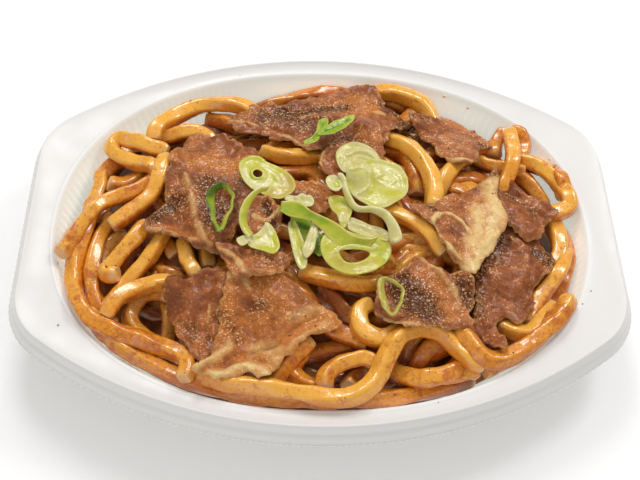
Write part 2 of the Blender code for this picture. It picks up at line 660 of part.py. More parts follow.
def build_toppings(relief, meat, green):
    """Lay the meat slices, then the pieces of green onion."""
    for name, outline in MEAT.items():
        add_topping(relief, name, leaf_plan(outline, MEAT_LATTICE), SLICE, meat, MEAT_DROOP)
    for name, outline in ONION_LEAVES.items():
        add_topping(relief, name, leaf_plan(outline, LEAF_LATTICE), ONION_LEAF, green, LEAF_DROOP)
    for name, sizes in ONION_RINGS.items():
        add_topping(relief, name, ring_plan(*sizes), ONION_RING, green, RING_DROOP)
    for name, (width, route) in ONION_STRIPS.items():
        add_topping(relief, name, strip_plan(width, route), ONION_RING, green, RING_DROOP)


def main():
    """Clear the scene and build the tray with its food."""
    for old in list(bpy.data.objects):
        bpy.data.objects.remove(old)
    plastic = material("tray_plastic", (0.88, 0.88, 0.86), 0.35)
    noodle = material("noodle", (0.80, 0.42, 0.12), 0.35)
    meat = material("meat", (0.34, 0.17, 0.11), 0.5)
    green = material("green_onion", (0.55, 0.68, 0.20), 0.4)
    relief = Relief()
    build_tray(plastic)
    build_noodles(relief, noodle)
    build_toppings(relief, meat, green)


main()
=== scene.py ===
"""Looks of a yaki udon in its oval white tray.

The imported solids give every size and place.  The noodle heap becomes loose strands over a
sauced core, each slice and each piece of green onion becomes a fine sheet over its solid,
and the tray gets its moulded edge.  Lengths inside the classes are in millimetres, and
meshes are made in metres.
"""

from __future__ import annotations

import json
import logging
import math
from dataclasses import dataclass
from enum import Enum

import bpy
import numpy as np
from bpy.types import ID, Material, Mesh, Node, NodeSocket, NodeTree, Object
from mathutils import Matrix, Vector
from mathutils.bvhtree import BVHTree
from mathutils.geometry import delaunay_2d_cdt

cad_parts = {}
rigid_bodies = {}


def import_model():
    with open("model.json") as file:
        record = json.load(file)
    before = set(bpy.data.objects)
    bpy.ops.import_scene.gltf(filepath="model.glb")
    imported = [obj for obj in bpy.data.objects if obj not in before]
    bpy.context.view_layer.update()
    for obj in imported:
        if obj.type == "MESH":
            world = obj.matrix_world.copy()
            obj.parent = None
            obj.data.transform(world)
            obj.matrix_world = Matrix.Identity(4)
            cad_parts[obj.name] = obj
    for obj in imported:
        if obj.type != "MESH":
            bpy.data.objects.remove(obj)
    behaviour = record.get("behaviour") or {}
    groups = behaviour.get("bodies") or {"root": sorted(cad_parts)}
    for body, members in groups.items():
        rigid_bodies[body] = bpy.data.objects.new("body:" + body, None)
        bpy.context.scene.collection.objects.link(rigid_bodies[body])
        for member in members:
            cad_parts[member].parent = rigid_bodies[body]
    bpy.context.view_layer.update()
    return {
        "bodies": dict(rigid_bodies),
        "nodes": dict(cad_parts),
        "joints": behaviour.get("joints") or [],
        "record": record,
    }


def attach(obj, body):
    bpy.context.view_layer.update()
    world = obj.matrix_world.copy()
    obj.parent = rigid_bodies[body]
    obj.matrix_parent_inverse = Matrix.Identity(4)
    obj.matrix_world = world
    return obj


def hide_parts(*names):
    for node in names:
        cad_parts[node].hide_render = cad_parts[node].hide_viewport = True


MM = 0.001
LOG = logging.getLogger("yaki_udon")
ABOVE = 200.0
DOWN = Vector((0.0, 0.0, -1.0))
Array = np.ndarray
Colour = tuple[float, float, float]
Plan = tuple[tuple[float, float], ...]
Ring = tuple[Array, Array, float]


# ------------------------------------------------------------------ nodes and shader graphs
class Wire:
    """One output socket, with the operators that add Math nodes."""

    def __init__(self, graph: Graph, socket: NodeSocket) -> None:
        """Wrap a socket of a graph."""
        self.graph = graph
        self.socket = socket

    def _sum(self, operation: str, left: object, right: object) -> Wire:
        """Add one Math node.

        Args:
            operation: the Math node's operation.
            left: a wire or a number.
            right: a wire or a number.

        Returns:
            The node's value.
        """
        return self.graph.add("ShaderNodeMath", {"operation": operation}, {0: left, 1: right})

    def __add__(self, other: object) -> Wire:
        """Return self + other."""
        return self._sum("ADD", self, other)

    __radd__ = __add__

    def __sub__(self, other: object) -> Wire:
        """Return self - other."""
        return self._sum("SUBTRACT", self, other)

    def __rsub__(self, other: object) -> Wire:
        """Return other - self."""
        return self._sum("SUBTRACT", other, self)

    def __mul__(self, other: object) -> Wire:
        """Return self * other."""
        return self._sum("MULTIPLY", self, other)

    __rmul__ = __mul__

    def ramp(self, low: float, high: float, start: float = 0.0, end: float = 1.0) -> Wire:
        """Map a range smoothly and clamp it.

        Args:
            low: the value that gives start.
            high: the value that gives end.
            start: the result at low.
            end: the result at high.

        Returns:
            The mapped value.
        """
        settings = {"interpolation_type": "SMOOTHSTEP"}
        return self.graph.add("ShaderNodeMapRange", settings,
                              {"Value": self, "From Min": low, "From Max": high,
                               "To Min": start, "To Max": end})


def feed(tree: NodeTree, socket: NodeSocket, value: object) -> None:
    """Link something to a socket, or set the socket's own value.

    Args:
        tree: the tree of nodes.
        socket: the input socket.
        value: a wire, an output socket, a colour or a plain value.
    """
    if isinstance(value, Wire):
        value = value.socket
    if isinstance(value, NodeSocket):
        tree.links.new(value, socket)
    elif isinstance(value, tuple) and socket.type == "RGBA":
        socket.default_value = (*value, 1.0)
    else:
        socket.default_value = value


def add_node(tree: NodeTree, kind: str, settings: dict | None = None,
             sockets: dict | None = None) -> Node:
    """Add a node to a tree.

    Args:
        tree: the tree of nodes.
        kind: the node's type.
        settings: its properties, set first.
        sockets: what its inputs get, by name among the enabled ones or by index.

    Returns:
        The node.
    """
    node = tree.nodes.new(kind)
    for key, value in (settings or {}).items():
        setattr(node, key, value)
    for key, value in (sockets or {}).items():
        if not isinstance(key, int):
            key = next(k for k, s in enumerate(node.inputs) if s.name == key and s.enabled)
        feed(tree, node.inputs[key], value)
    return node


class Graph:
    """The node tree of one material, with a single method that adds any node."""

    def __init__(self, name: str) -> None:
        """Start a material with a Principled shader.

        Args:
            name: the material's name.
        """
        self.material = bpy.data.materials.new(name)
        self.material.use_nodes = True
        self.tree = self.material.node_tree
        self.shader = self.tree.nodes["Principled BSDF"]

    def add(self, kind: str, settings: dict | None = None, sockets: dict | None = None,
            output: str | int = 0) -> Wire:
        """Add a node.

        Args:
            kind: the node's type.
            settings: its properties, set first.
            sockets: values or wires of its inputs, by name or index.
            output: the output to return.

        Returns:
            A wire from that output.
        """
        node = add_node(self.tree, kind, settings, sockets)
        if isinstance(output, int):
            return Wire(self, [s for s in node.outputs if s.enabled][output])
        return Wire(self, next(s for s in node.outputs if s.name == output and s.enabled))

    def mix(self, share: object, first: object, second: object) -> Wire:
        """Blend two colours.

        Args:
            share: how much of the second.
            first: a colour or wire.
            second: a colour or wire.

        Returns:
            The blended colour.
        """
        settings = {"data_type": "RGBA", "blend_type": "MIX", "clamp_factor": True}
        return self.add("ShaderNodeMix", settings, {"Factor": share, "A": first, "B": second})

    def place(self) -> Wire:
        """Return Object coordinates."""
        return self.add("ShaderNodeTexCoord", output="Object")

    def trait(self, name: str) -> Wire:
        """Return a number stored on the mesh."""
        return self.add("ShaderNodeAttribute", {"attribute_name": name}, output="Fac")

    def noise(self, per_metre: float, detail: float = 3.0, rough: float = 0.55,
              distort: float = 0.0) -> Wire:
        """Add a noise on Object coordinates.

        Args:
            per_metre: its scale in cycles a metre.
            detail: its octaves.
            rough: how strong the finer ones are.
            distort: how far it is warped.

        Returns:
            Its value, from 0 to 1.
        """
        return self.add("ShaderNodeTexNoise", {"noise_dimensions": "3D"},
                        {"Vector": self.place(), "Scale": per_metre, "Detail": detail,
                         "Roughness": rough, "Distortion": distort}, "Fac")

    def bump(self, height: Wire, depth_mm: float, strength: float = 1.0) -> Wire:
        """Return a normal bumped by a height."""
        return self.add("ShaderNodeBump", {}, {"Height": height, "Distance": depth_mm * MM,
                                               "Strength": strength})

    def finish(self, constants: dict, links: dict) -> Material:
        """Set the shader's constants and link what varies.

        Args:
            constants: values by the shader's inputs.
            links: wires by the shader's inputs.

        Returns:
            The material.
        """
        for key, value in {**constants, **links}.items():
            feed(self.tree, self.shader.inputs[key], value)
        return self.material


# ------------------------------------------------------------------ finishes
@dataclass(frozen=True)
class TrayFinish:
    """White moulded plastic. The well is painted lighter and cream and glows faintly, painted light
    for light that comes through the plastic; the lip's beads carry a painted highlight and the
    grooves between them painted shade.
    """

    white: Colour = (0.745, 0.735, 0.72)
    # cream and glow paint light in the well: a lighter cream and a faint emission stand for light
    # that comes through the plastic.
    cream: Colour = (0.91, 0.93, 0.85)
    glow: Colour = (0.385, 0.44, 0.405)
    # The bead colour is a painted highlight on the lip's beads, and the next one is painted shade
    # in the grooves between them.
    bead: Colour = (0.97, 0.97, 0.96)
    painted_groove_shade: Colour = (0.60, 0.59, 0.575)
    cloudy: Colour = (0.70, 0.71, 0.70)
    unlit: Colour = (0.0, 0.0, 0.0)

    def make(self) -> Material:
        """Wire up the tray's plastic.

        Returns:
            The material.
        """
        graph = Graph("tray_plastic")
        depth = graph.trait("well")
        cloud = graph.noise(18.0, 2.0)
        # Painted light: the deeper in the well, the lighter and creamier.
        colour = graph.mix(depth * 0.8, self.white, self.cream)
        colour = graph.mix(cloud.ramp(0.35, 0.75, 0.0, 0.05), colour, self.cloudy)
        # Painted highlight on the lip's beads and painted shade in the grooves between them.
        bead = graph.trait("bead")
        colour = graph.mix(bead.ramp(0.1, 0.9), colour, self.bead)
        colour = graph.mix((0.0 - bead).ramp(0.1, 0.9), colour, self.painted_groove_shade)
        normal = graph.bump(graph.noise(220.0, 3.0), 0.03, 0.35)
        rough = graph.noise(60.0, 2.0).ramp(0.3, 0.7, 0.30, 0.42)
        # Painted light: a faint glow in the well, for light that comes through the plastic.
        painted_through_light = graph.mix(depth, self.unlit, self.glow)
        constants = {"Specular IOR Level": 0.4, "Subsurface Weight": 0.25,
                     "Subsurface Radius": (0.006, 0.006, 0.005), "Emission Strength": 1.0}
        return graph.finish(constants, {"Base Color": colour, "Roughness": rough,
                                        "Normal": normal, "Emission Color": painted_through_light})


@dataclass(frozen=True)
class NoodleFinish:
    """Boiled wheat noodle fried in sauce, red where sauced, with painted light: yellow where it
    faces up and amber on its sides, and painted shade on strands deep in the heap.
    """

    # pale and amber are the noodle's yellow and amber, and also carry painted light: pale where the
    # surface faces up, amber on the sides.
    pale: Colour = (0.90, 0.445, 0.058)
    amber: Colour = (0.78, 0.285, 0.022)
    sauce: Colour = (0.54, 0.110, 0.006)
    # dark is painted shade for strands deep in the heap.
    dark: Colour = (0.12, 0.022, 0.004)
    fleck: Colour = (0.20, 0.05, 0.012)
    cut: Colour = (0.80, 0.50, 0.20)

    def make(self) -> Material:
        """Wire up the noodles' glaze.

        Returns:
            The material.
        """
        graph = Graph("noodle_glazed")
        tone = graph.trait("tone")
        under = graph.trait("under")
        tip = graph.trait("tip")
        facing = graph.add("ShaderNodeSeparateXYZ", {},
                           {0: graph.add("ShaderNodeNewGeometry", output="Normal")}, "Z")
        cloud = graph.noise(85.0, 3.0, 0.6, 0.4)
        streak = graph.noise(300.0, 3.0, 0.6, 0.8)
        grain = graph.noise(1150.0, 2.0, 0.7)
        # Painted light: the more a face turns up, the paler; the sides go amber.
        light = facing.ramp(0.05, 0.95)
        share = light * 0.9 + (cloud - 0.5) * 2.2 + (streak - 0.5) * 0.9 + (0.5 - tone) * 1.0
        colour = graph.mix(share.ramp(0.20, 1.05), self.amber, self.pale)
        # Sauce film: mottled, and partly painted shade, heavier on the sides and on deeper strands.
        film = ((1.0 - light) * 0.34 + (streak - 0.5) * 1.7 + (grain - 0.5) * 0.9
                + (tone - 0.5) * 0.9 + (cloud - 0.5) * 1.8 + under * 0.4)
        colour = graph.mix(film.ramp(0.16, 0.70, 0.0, 0.85), colour, self.sauce)
        flecks = graph.noise(620.0, 3.0, 0.8, 0.8) + (tone - 0.5) * 0.12
        colour = graph.mix(flecks.ramp(0.55, 0.66, 0.0, 0.7), colour, self.sauce)
        # Painted shade: strands deeper in the heap are darkened.
        colour = graph.mix(under.ramp(0.1, 1.0, 0.0, 0.70), colour, self.dark)
        colour = graph.mix(tip.ramp(0.5, 1.0, 0.0, 0.6), colour, self.cut)
        specks = graph.add("ShaderNodeTexVoronoi", {"feature": "F1"},
                           {"Vector": graph.place(), "Scale": 420.0}, "Distance")
        chosen = graph.noise(260.0, 1.0).ramp(0.62, 0.68)
        colour = graph.mix(specks.ramp(0.10, 0.22, 0.55, 0.0) * chosen, colour, self.fleck)
        relief = grain * 0.45 + graph.noise(430.0, 2.0) * 0.8
        normal = graph.bump(relief, 0.30, 0.7)
        rough = (grain * 0.6 + streak * 0.4).ramp(0.38, 0.62, 0.13, 0.40)
        constants = {"IOR": 1.55, "Specular IOR Level": 0.6, "Subsurface Weight": 0.06,
                     "Subsurface Radius": (0.0026, 0.0011, 0.0004), "Subsurface Scale": 1.0,
                     "Coat Weight": 0.7, "Coat Roughness": 0.10}
        return graph.finish(constants, {"Base Color": colour, "Roughness": rough, "Normal": normal})


@dataclass(frozen=True)
class CoreFinish:
    """The sauced bed between and below the strands, dark brown as painted shade in the heap's gaps.
    """

    # Both browns are darker than the noodles: painted shade for the gaps between strands.
    brown: Colour = (0.30, 0.075, 0.010)
    deep: Colour = (0.12, 0.026, 0.005)

    def make(self) -> Material:
        """Wire up the sauced bed.

        Returns:
            The material.
        """
        graph = Graph("heap_core")
        cloud = graph.noise(140.0, 3.0)
        colour = graph.mix(cloud.ramp(0.35, 0.7), self.deep, self.brown)
        normal = graph.bump(graph.noise(160.0, 3.0), 0.8, 0.8)
        return graph.finish({"Roughness": 0.3}, {"Base Color": colour, "Normal": normal})


@dataclass(frozen=True)
class MeatFinish:
    """Fried pork: mauve to tan, gritty and oily, with cream fat, painted shade in its creases, a
    painted highlight along its cut edge and painted glints on the oily patches.
    """

    lean: Colour = (0.225, 0.064, 0.020)
    rosy: Colour = (0.430, 0.135, 0.046)
    tan: Colour = (0.54, 0.175, 0.030)
    light: Colour = (0.70, 0.29, 0.065)
    dark: Colour = (0.062, 0.014, 0.004)
    fat: Colour = (0.68, 0.40, 0.15)
    cream: Colour = (0.74, 0.52, 0.22)
    # The crease colour is painted shade in the slice's folds and gaps.
    crease_shade: Colour = (0.07, 0.020, 0.008)
    # The glint colour is a painted highlight, specks of it on the oily patches.
    painted_glint: Colour = (0.90, 0.62, 0.30)

    def make(self) -> Material:
        """Wire up the pork.

        Returns:
            The material.
        """
        graph = Graph("fried_pork")
        fat, crease_shade, char = graph.trait("fat"), graph.trait("crease_shade"), graph.trait("char")
        tan, rim = graph.trait("tan"), graph.trait("rim")
        cloud = graph.noise(70.0, 4.0, 0.6, 0.7)
        blotch = graph.noise(230.0, 4.0, 0.65, 0.8)
        grit = graph.noise(640.0, 3.0, 0.7, 0.6)
        grain = graph.noise(1100.0, 2.0, 0.65)
        mottle = cloud + (blotch - 0.5) * 0.7 + (grit - 0.5) * 0.4
        colour = graph.mix(mottle.ramp(0.32, 0.68), self.lean, self.rosy)
        warm = tan + (cloud - 0.5) * 1.1 + (blotch - 0.5) * 0.9 + (grit - 0.5) * 0.6
        colour = graph.mix(warm.ramp(0.12, 1.0), colour, self.tan)
        speckle = grit * 0.6 + grain * 0.4
        colour = graph.mix(speckle.ramp(0.53, 0.68, 0.0, 0.55), colour, self.dark)
        colour = graph.mix(speckle.ramp(0.34, 0.46, 0.55, 0.0), colour, self.light)
        scorch = char + (grit - 0.5) * 1.6 * char.ramp(0.0, 0.4) + (blotch - 0.5) * char
        colour = graph.mix(scorch.ramp(0.15, 0.95, 0.0, 0.88), colour, self.dark)
        soft = fat + (blotch - 0.5) * 1.0 * fat.ramp(0.0, 0.3) + (grit - 0.5) * 0.5 * fat
        fatty = graph.mix(fat.ramp(0.65, 1.0), self.fat, self.cream)
        fatty = graph.mix((blotch - fat * 0.06).ramp(0.44, 0.62, 0.0, 0.6), fatty, self.tan)
        colour = graph.mix(soft.ramp(0.10, 0.85), colour, fatty)
        # Painted highlight along the slice's cut edge.
        painted_edge_light = rim + (blotch - 0.5) * 1.2 * rim.ramp(0.0, 0.3)
        colour = graph.mix(painted_edge_light.ramp(0.1, 0.8, 0.0, 0.45), colour, self.fat)
        # Painted glints: light specks on the oily patches, which are also made smoother.
        oily = (cloud + char * 0.22 + (blotch - 0.5) * 0.5).ramp(0.46, 0.60)
        specks = graph.noise(1250.0, 2.0, 0.65, 0.3)
        colour = graph.mix(specks.ramp(0.57, 0.64, 0.0, 0.75) * oily, colour, self.painted_glint)
        # Painted shade in the creases and gaps.
        colour = graph.mix(crease_shade.ramp(0.2, 0.9, 0.0, 0.75), colour, self.crease_shade)
        height = grit * 1.0 + grain * 0.4 + blotch * 1.8
        normal = graph.bump(height, 0.30, 1.0)
        rough = (grain - oily * 0.10).ramp(0.32, 0.62, 0.16, 0.42)
        constants = {"IOR": 1.5, "Specular IOR Level": 0.24, "Subsurface Weight": 0.05,
                     "Subsurface Radius": (0.002, 0.0008, 0.0005), "Coat Weight": 0.2,
                     "Coat Roughness": 0.10}
        return graph.finish(constants, {"Base Color": colour, "Roughness": rough, "Normal": normal})


@dataclass(frozen=True)
class OnionFinish:
    """Cut green onion: white to lime to leaf green, wet, clear and amber where thin."""

    white: Colour = (0.65, 0.60, 0.28)
    lime: Colour = (0.54, 0.51, 0.060)
    leaf: Colour = (0.27, 0.40, 0.022)
    forest: Colour = (0.055, 0.125, 0.010)
    amber: Colour = (0.52, 0.38, 0.085)

    def make(self) -> Material:
        """Wire up the onion's greens.

        Returns:
            The material.
        """
        graph = Graph("green_onion")
        green, clear = graph.trait("green"), graph.trait("clear")
        wave = graph.noise(230.0, 3.0, 0.6, 0.5)
        veins = graph.noise(900.0, 2.0)
        share = green + (wave - 0.5) * 0.30 + (veins - 0.5) * 0.12
        colour = graph.mix(share.ramp(0.05, 0.40), self.white, self.lime)
        colour = graph.mix(share.ramp(0.42, 0.68), colour, self.leaf)
        colour = graph.mix(share.ramp(0.72, 1.0), colour, self.forest)
        colour = graph.mix((clear + (wave - 0.5) * 0.8 * clear).ramp(0.1, 1.0, 0.0, 0.8), colour,
                           self.amber)
        normal = graph.bump(veins * 0.5 + wave, 0.30, 0.6)
        rough = veins.ramp(0.35, 0.65, 0.14, 0.36)
        constants = {"Specular IOR Level": 0.5, "Subsurface Weight": 0.4,
                     "Subsurface Radius": (0.0016, 0.0020, 0.0006)}
        return graph.finish(constants, {"Base Color": colour, "Roughness": rough, "Normal": normal})


@dataclass(frozen=True)
class FloorFinish:
    """Plain white sweep."""

    white: Colour = (0.93, 0.93, 0.93)
    shaded: Colour = (0.90, 0.90, 0.90)
    glow: Colour = (1.0, 1.0, 1.0)

    def make(self) -> Material:
        """Wire up the sweep.

        Returns:
            The material.
        """
        graph = Graph("floor_white")
        faint = graph.mix(graph.noise(3.0, 1.0).ramp(0.2, 0.8, 0.0, 0.02), self.white,
                          self.shaded)
        constants = {"Roughness": 0.9, "Specular IOR Level": 0.1,
                     "Emission Color": self.glow, "Emission Strength": 0.09}
        return graph.finish(constants, {"Base Color": faint})


# ------------------------------------------------------------------ mesh helpers
def link(name: str, data: ID) -> Object:
    """Put new data in the scene.

    Args:
        name: the object's name.
        data: a mesh, light or camera.

    Returns:
        The linked object.
    """
    made = bpy.data.objects.new(name, data)
    bpy.context.scene.collection.objects.link(made)
    return made


def build_mesh(name: str, points: Array, faces: list, traits: dict[str, Array],
               material: Material | None, edges: list | None = None) -> Object:
    """Make an object from points in millimetres.

    Args:
        name: the object's name.
        points: one row for each vertex.
        faces: vertex indices of each face.
        traits: numbers stored on each vertex, by name.
        material: its material, or none where a recipe gives it.
        edges: loose edges, where it has them.

    Returns:
        The linked object.
    """
    mesh = bpy.data.meshes.new(name)
    mesh.from_pydata((np.asarray(points, float) * MM).tolist(), edges or [], faces)
    for key, values in traits.items():
        layer = mesh.attributes.new(key, "FLOAT", "POINT")
        layer.data.foreach_set("value", np.asarray(values, np.float32).ravel())
    if material is not None:
        mesh.materials.append(material)
    mesh.shade_smooth()
    return link(name, mesh)


def around(count: int) -> Array:
    """Return even directions round a turn."""
    return np.linspace(0.0, 2.0 * math.pi, count, endpoint=False)


def polar(reach: Array, angle: Array, height: Array | float) -> Array:
    """Return points from their reach, direction and height.

    Args:
        reach: how far each is from the middle.
        angle: each one's direction.
        height: their heights, or one for all.

    Returns:
        One row for each point.
    """
    level = np.broadcast_to(height, angle.shape)
    return np.column_stack([reach * np.cos(angle), reach * np.sin(angle), level])


def ring_quads(first: int, after: int, columns: int) -> list[tuple[int, ...]]:
    """Join two rings of points.

    Args:
        first: one ring's number in the mesh.
        after: the other's.
        columns: how many points a ring has.

    Returns:
        The quads between them.
    """
    turn = [(k, (k + 1) % columns) for k in range(columns)]
    return [(first * columns + k, first * columns + nxt, after * columns + nxt,
             after * columns + k) for k, nxt in turn]


def rail(points: Plan, per: int, closed: bool) -> Array:
    """Return a Catmull-Rom curve with the same number of points in each span.

    Args:
        points: the curve's own points.
        per: points in a span.
        closed: whether the curve returns to its start, which isn't given twice.

    Returns:
        One row for each point.
    """
    knots = [np.array(point, float) for point in points]
    if closed:
        knots = [knots[-1], *knots, knots[0], knots[1]]
    else:
        knots = [2 * knots[0] - knots[1], *knots, 2 * knots[-1] - knots[-2]]
    fine = []
    for a, b, c, d in zip(knots, knots[1:], knots[2:], knots[3:]):
        for t in np.linspace(0.0, 1.0, per, endpoint=False):
            fine.append(0.5 * (2 * b + (c - a) * t + (2 * a - 5 * b + 4 * c - d) * t**2
                               + (3 * b - a - 3 * c + d) * t**3))
    if not closed:
        fine.append(knots[-2])
    return np.array(fine)


def smooth_route(points: Plan, step: float, closed: bool = False) -> Array:
    """Return evenly spaced points on a Catmull-Rom curve.

    Args:
        points: the curve's own points.
        step: the spacing.
        closed: whether the curve returns to its start.

    Returns:
        One row for each point.
    """
    per_span = 16
    fine = rail(points, per_span, closed)
    if closed:
        fine = np.vstack([fine, fine[:1]])
    travelled = np.r_[0.0, np.cumsum(np.linalg.norm(np.diff(fine, axis=0), axis=1))]
    count = max(3, round(travelled[-1] / step) + 1)
    places = np.linspace(0.0, travelled[-1], count)
    if closed:
        places = places[:-1]
    return np.column_stack([np.interp(places, travelled, fine[:, k])
                            for k in range(fine.shape[1])])


def ease(value: Array, low: float, high: float) -> Array:
    """Return a smooth step from 0 at low to 1 at high."""
    part = np.clip((value - low) / (high - low), 0.0, 1.0)
    return part * part * (3.0 - 2.0 * part)


def distance_to_line(points: Array, line: Array) -> Array:
    """Return each point's distance in plan to a broken line.

    Args:
        points: one row for each point.
        line: the line's corners in order.

    Returns:
        One distance for each point.
    """
    best = np.full(len(points), 1e9)
    for start, end in zip(line[:-1, :2], line[1:, :2]):
        along = end - start
        part = np.clip(((points[:, :2] - start) @ along) / (along @ along + 1e-9), 0.0, 1.0)
        gap = np.hypot(*(points[:, :2] - start - part[:, None] * along).T)
        best = np.minimum(best, gap)
    return best


def wander(points: Array, scale: float, seed: int) -> Array:
    """Return smooth seeded noise between -1 and 1 at points in the plane.

    Args:
        points: one row for each point.
        scale: the noise's feature size in millimetres.
        seed: which noise.

    Returns:
        One value for each point.
    """
    draw = np.random.default_rng(seed)
    total = np.zeros(len(points))
    cells = 64
    for turn in draw.uniform(0.0, math.pi, 3):
        table = draw.uniform(-1.0, 1.0, (cells, cells))
        shift = draw.uniform(10.0 * cells, 11.0 * cells, 2)
        x = (points[:, 0] * math.cos(turn) - points[:, 1] * math.sin(turn)) / scale + shift[0]
        y = (points[:, 0] * math.sin(turn) + points[:, 1] * math.cos(turn)) / scale + shift[1]
        i, j = np.floor(x).astype(int), np.floor(y).astype(int)
        u, v = x - i, y - j
        u, v = u * u * (3 - 2 * u), v * v * (3 - 2 * v)
        i, j, right, up = i % cells, j % cells, (i + 1) % cells, (j + 1) % cells
        near = table[i, j] * (1 - u) + table[right, j] * u
        far = table[i, up] * (1 - u) + table[right, up] * u
        total += near * (1 - v) + far * v
    return np.clip(0.75 * total, -1.2, 1.2)


class Recipe:
    """A Geometry Nodes tree in the making, with its inputs by name."""

    def __init__(self, name: str, sockets: dict[str, str]) -> None:
        """Start a tree.

        Args:
            name: the tree's name.
            sockets: its inputs besides the geometry, each with its kind.
        """
        self.tree = bpy.data.node_groups.new(name, "GeometryNodeTree")
        kinds = {"Geometry": "Geometry", **sockets}
        for key, kind in kinds.items():
            self.tree.interface.new_socket(key, in_out="INPUT", socket_type="NodeSocket" + kind)
        self.tree.interface.new_socket("Geometry", in_out="OUTPUT",
                                       socket_type="NodeSocketGeometry")
        self.given = self.tree.nodes.new("NodeGroupInput").outputs

    def make(self, kind: str, settings: dict | None = None, **inputs: object) -> Node:
        """Add one node.

        Args:
            kind: the node's type.
            settings: its own settings, set first.
            inputs: a value or a link for each input socket, with _ for a space.

        Returns:
            The node.
        """
        sockets = {key.replace("_", " "): value for key, value in inputs.items()}
        return add_node(self.tree, kind, settings, sockets)

    def finish(self, geometry: NodeSocket) -> NodeTree:
        """Make the geometry real and give it its material.

        Args:
            geometry: the socket that gives the made geometry.

        Returns:
            The finished tree.
        """
        real = self.make("GeometryNodeRealizeInstances", Geometry=geometry)
        dressed = self.make("GeometryNodeSetMaterial", Geometry=real.outputs["Geometry"],
                            Material=self.given["Finish"])
        self.make("NodeGroupOutput", Geometry=dressed.outputs["Geometry"])
        return self.tree


def run_recipe(made: Object, tree: NodeTree, values: dict[str, object]) -> None:
    """Run a tree on an object and keep the plain mesh that it makes.

    Args:
        made: the object, whose mesh is replaced.
        tree: the tree.
        values: the tree's inputs by name.
    """
    modifier = made.modifiers.new("recipe", "NODES")
    modifier.node_group = tree
    for item in tree.interface.items_tree:
        if item.item_type == "SOCKET" and item.in_out == "INPUT" and item.name in values:
            modifier[item.identifier] = values[item.name]
    view = bpy.context.evaluated_depsgraph_get()
    mesh = bpy.data.meshes.new_from_object(made.evaluated_get(view))
    made.modifiers.remove(modifier)
    made.data = mesh


class Skin:
    """The upper surface of finished pieces, for laying other things on them."""

    def __init__(self, pieces: list[Object]) -> None:
        """Read the pieces into trees for casting rays."""
        view = bpy.context.evaluated_depsgraph_get()
        self.trees = [BVHTree.FromObject(piece, view) for piece in pieces]

    def under(self, x: float, y: float) -> tuple[Vector, Vector, int] | None:
        """Find the highest spot below a point in plan.

        Args:
            x: the point's place along the tray.
            y: the point's place across the tray.

        Returns:
            The spot, its normal and its piece's number, or nothing.
        """
        best = None
        for number, tree in enumerate(self.trees):
            spot, normal, _, _ = tree.ray_cast(Vector((x * MM, y * MM, ABOVE * MM)), DOWN)
            if spot is not None and (best is None or spot.z > best[0].z * MM):
                best = (spot / MM, normal, number)
        return best

    def heights(self, points: Array) -> Array:
        """Return the surface's height below each point in plan, or nought."""
        found = [self.under(x, y) for x, y in points]
        return np.array([spot[0].z if spot else 0.0 for spot in found])


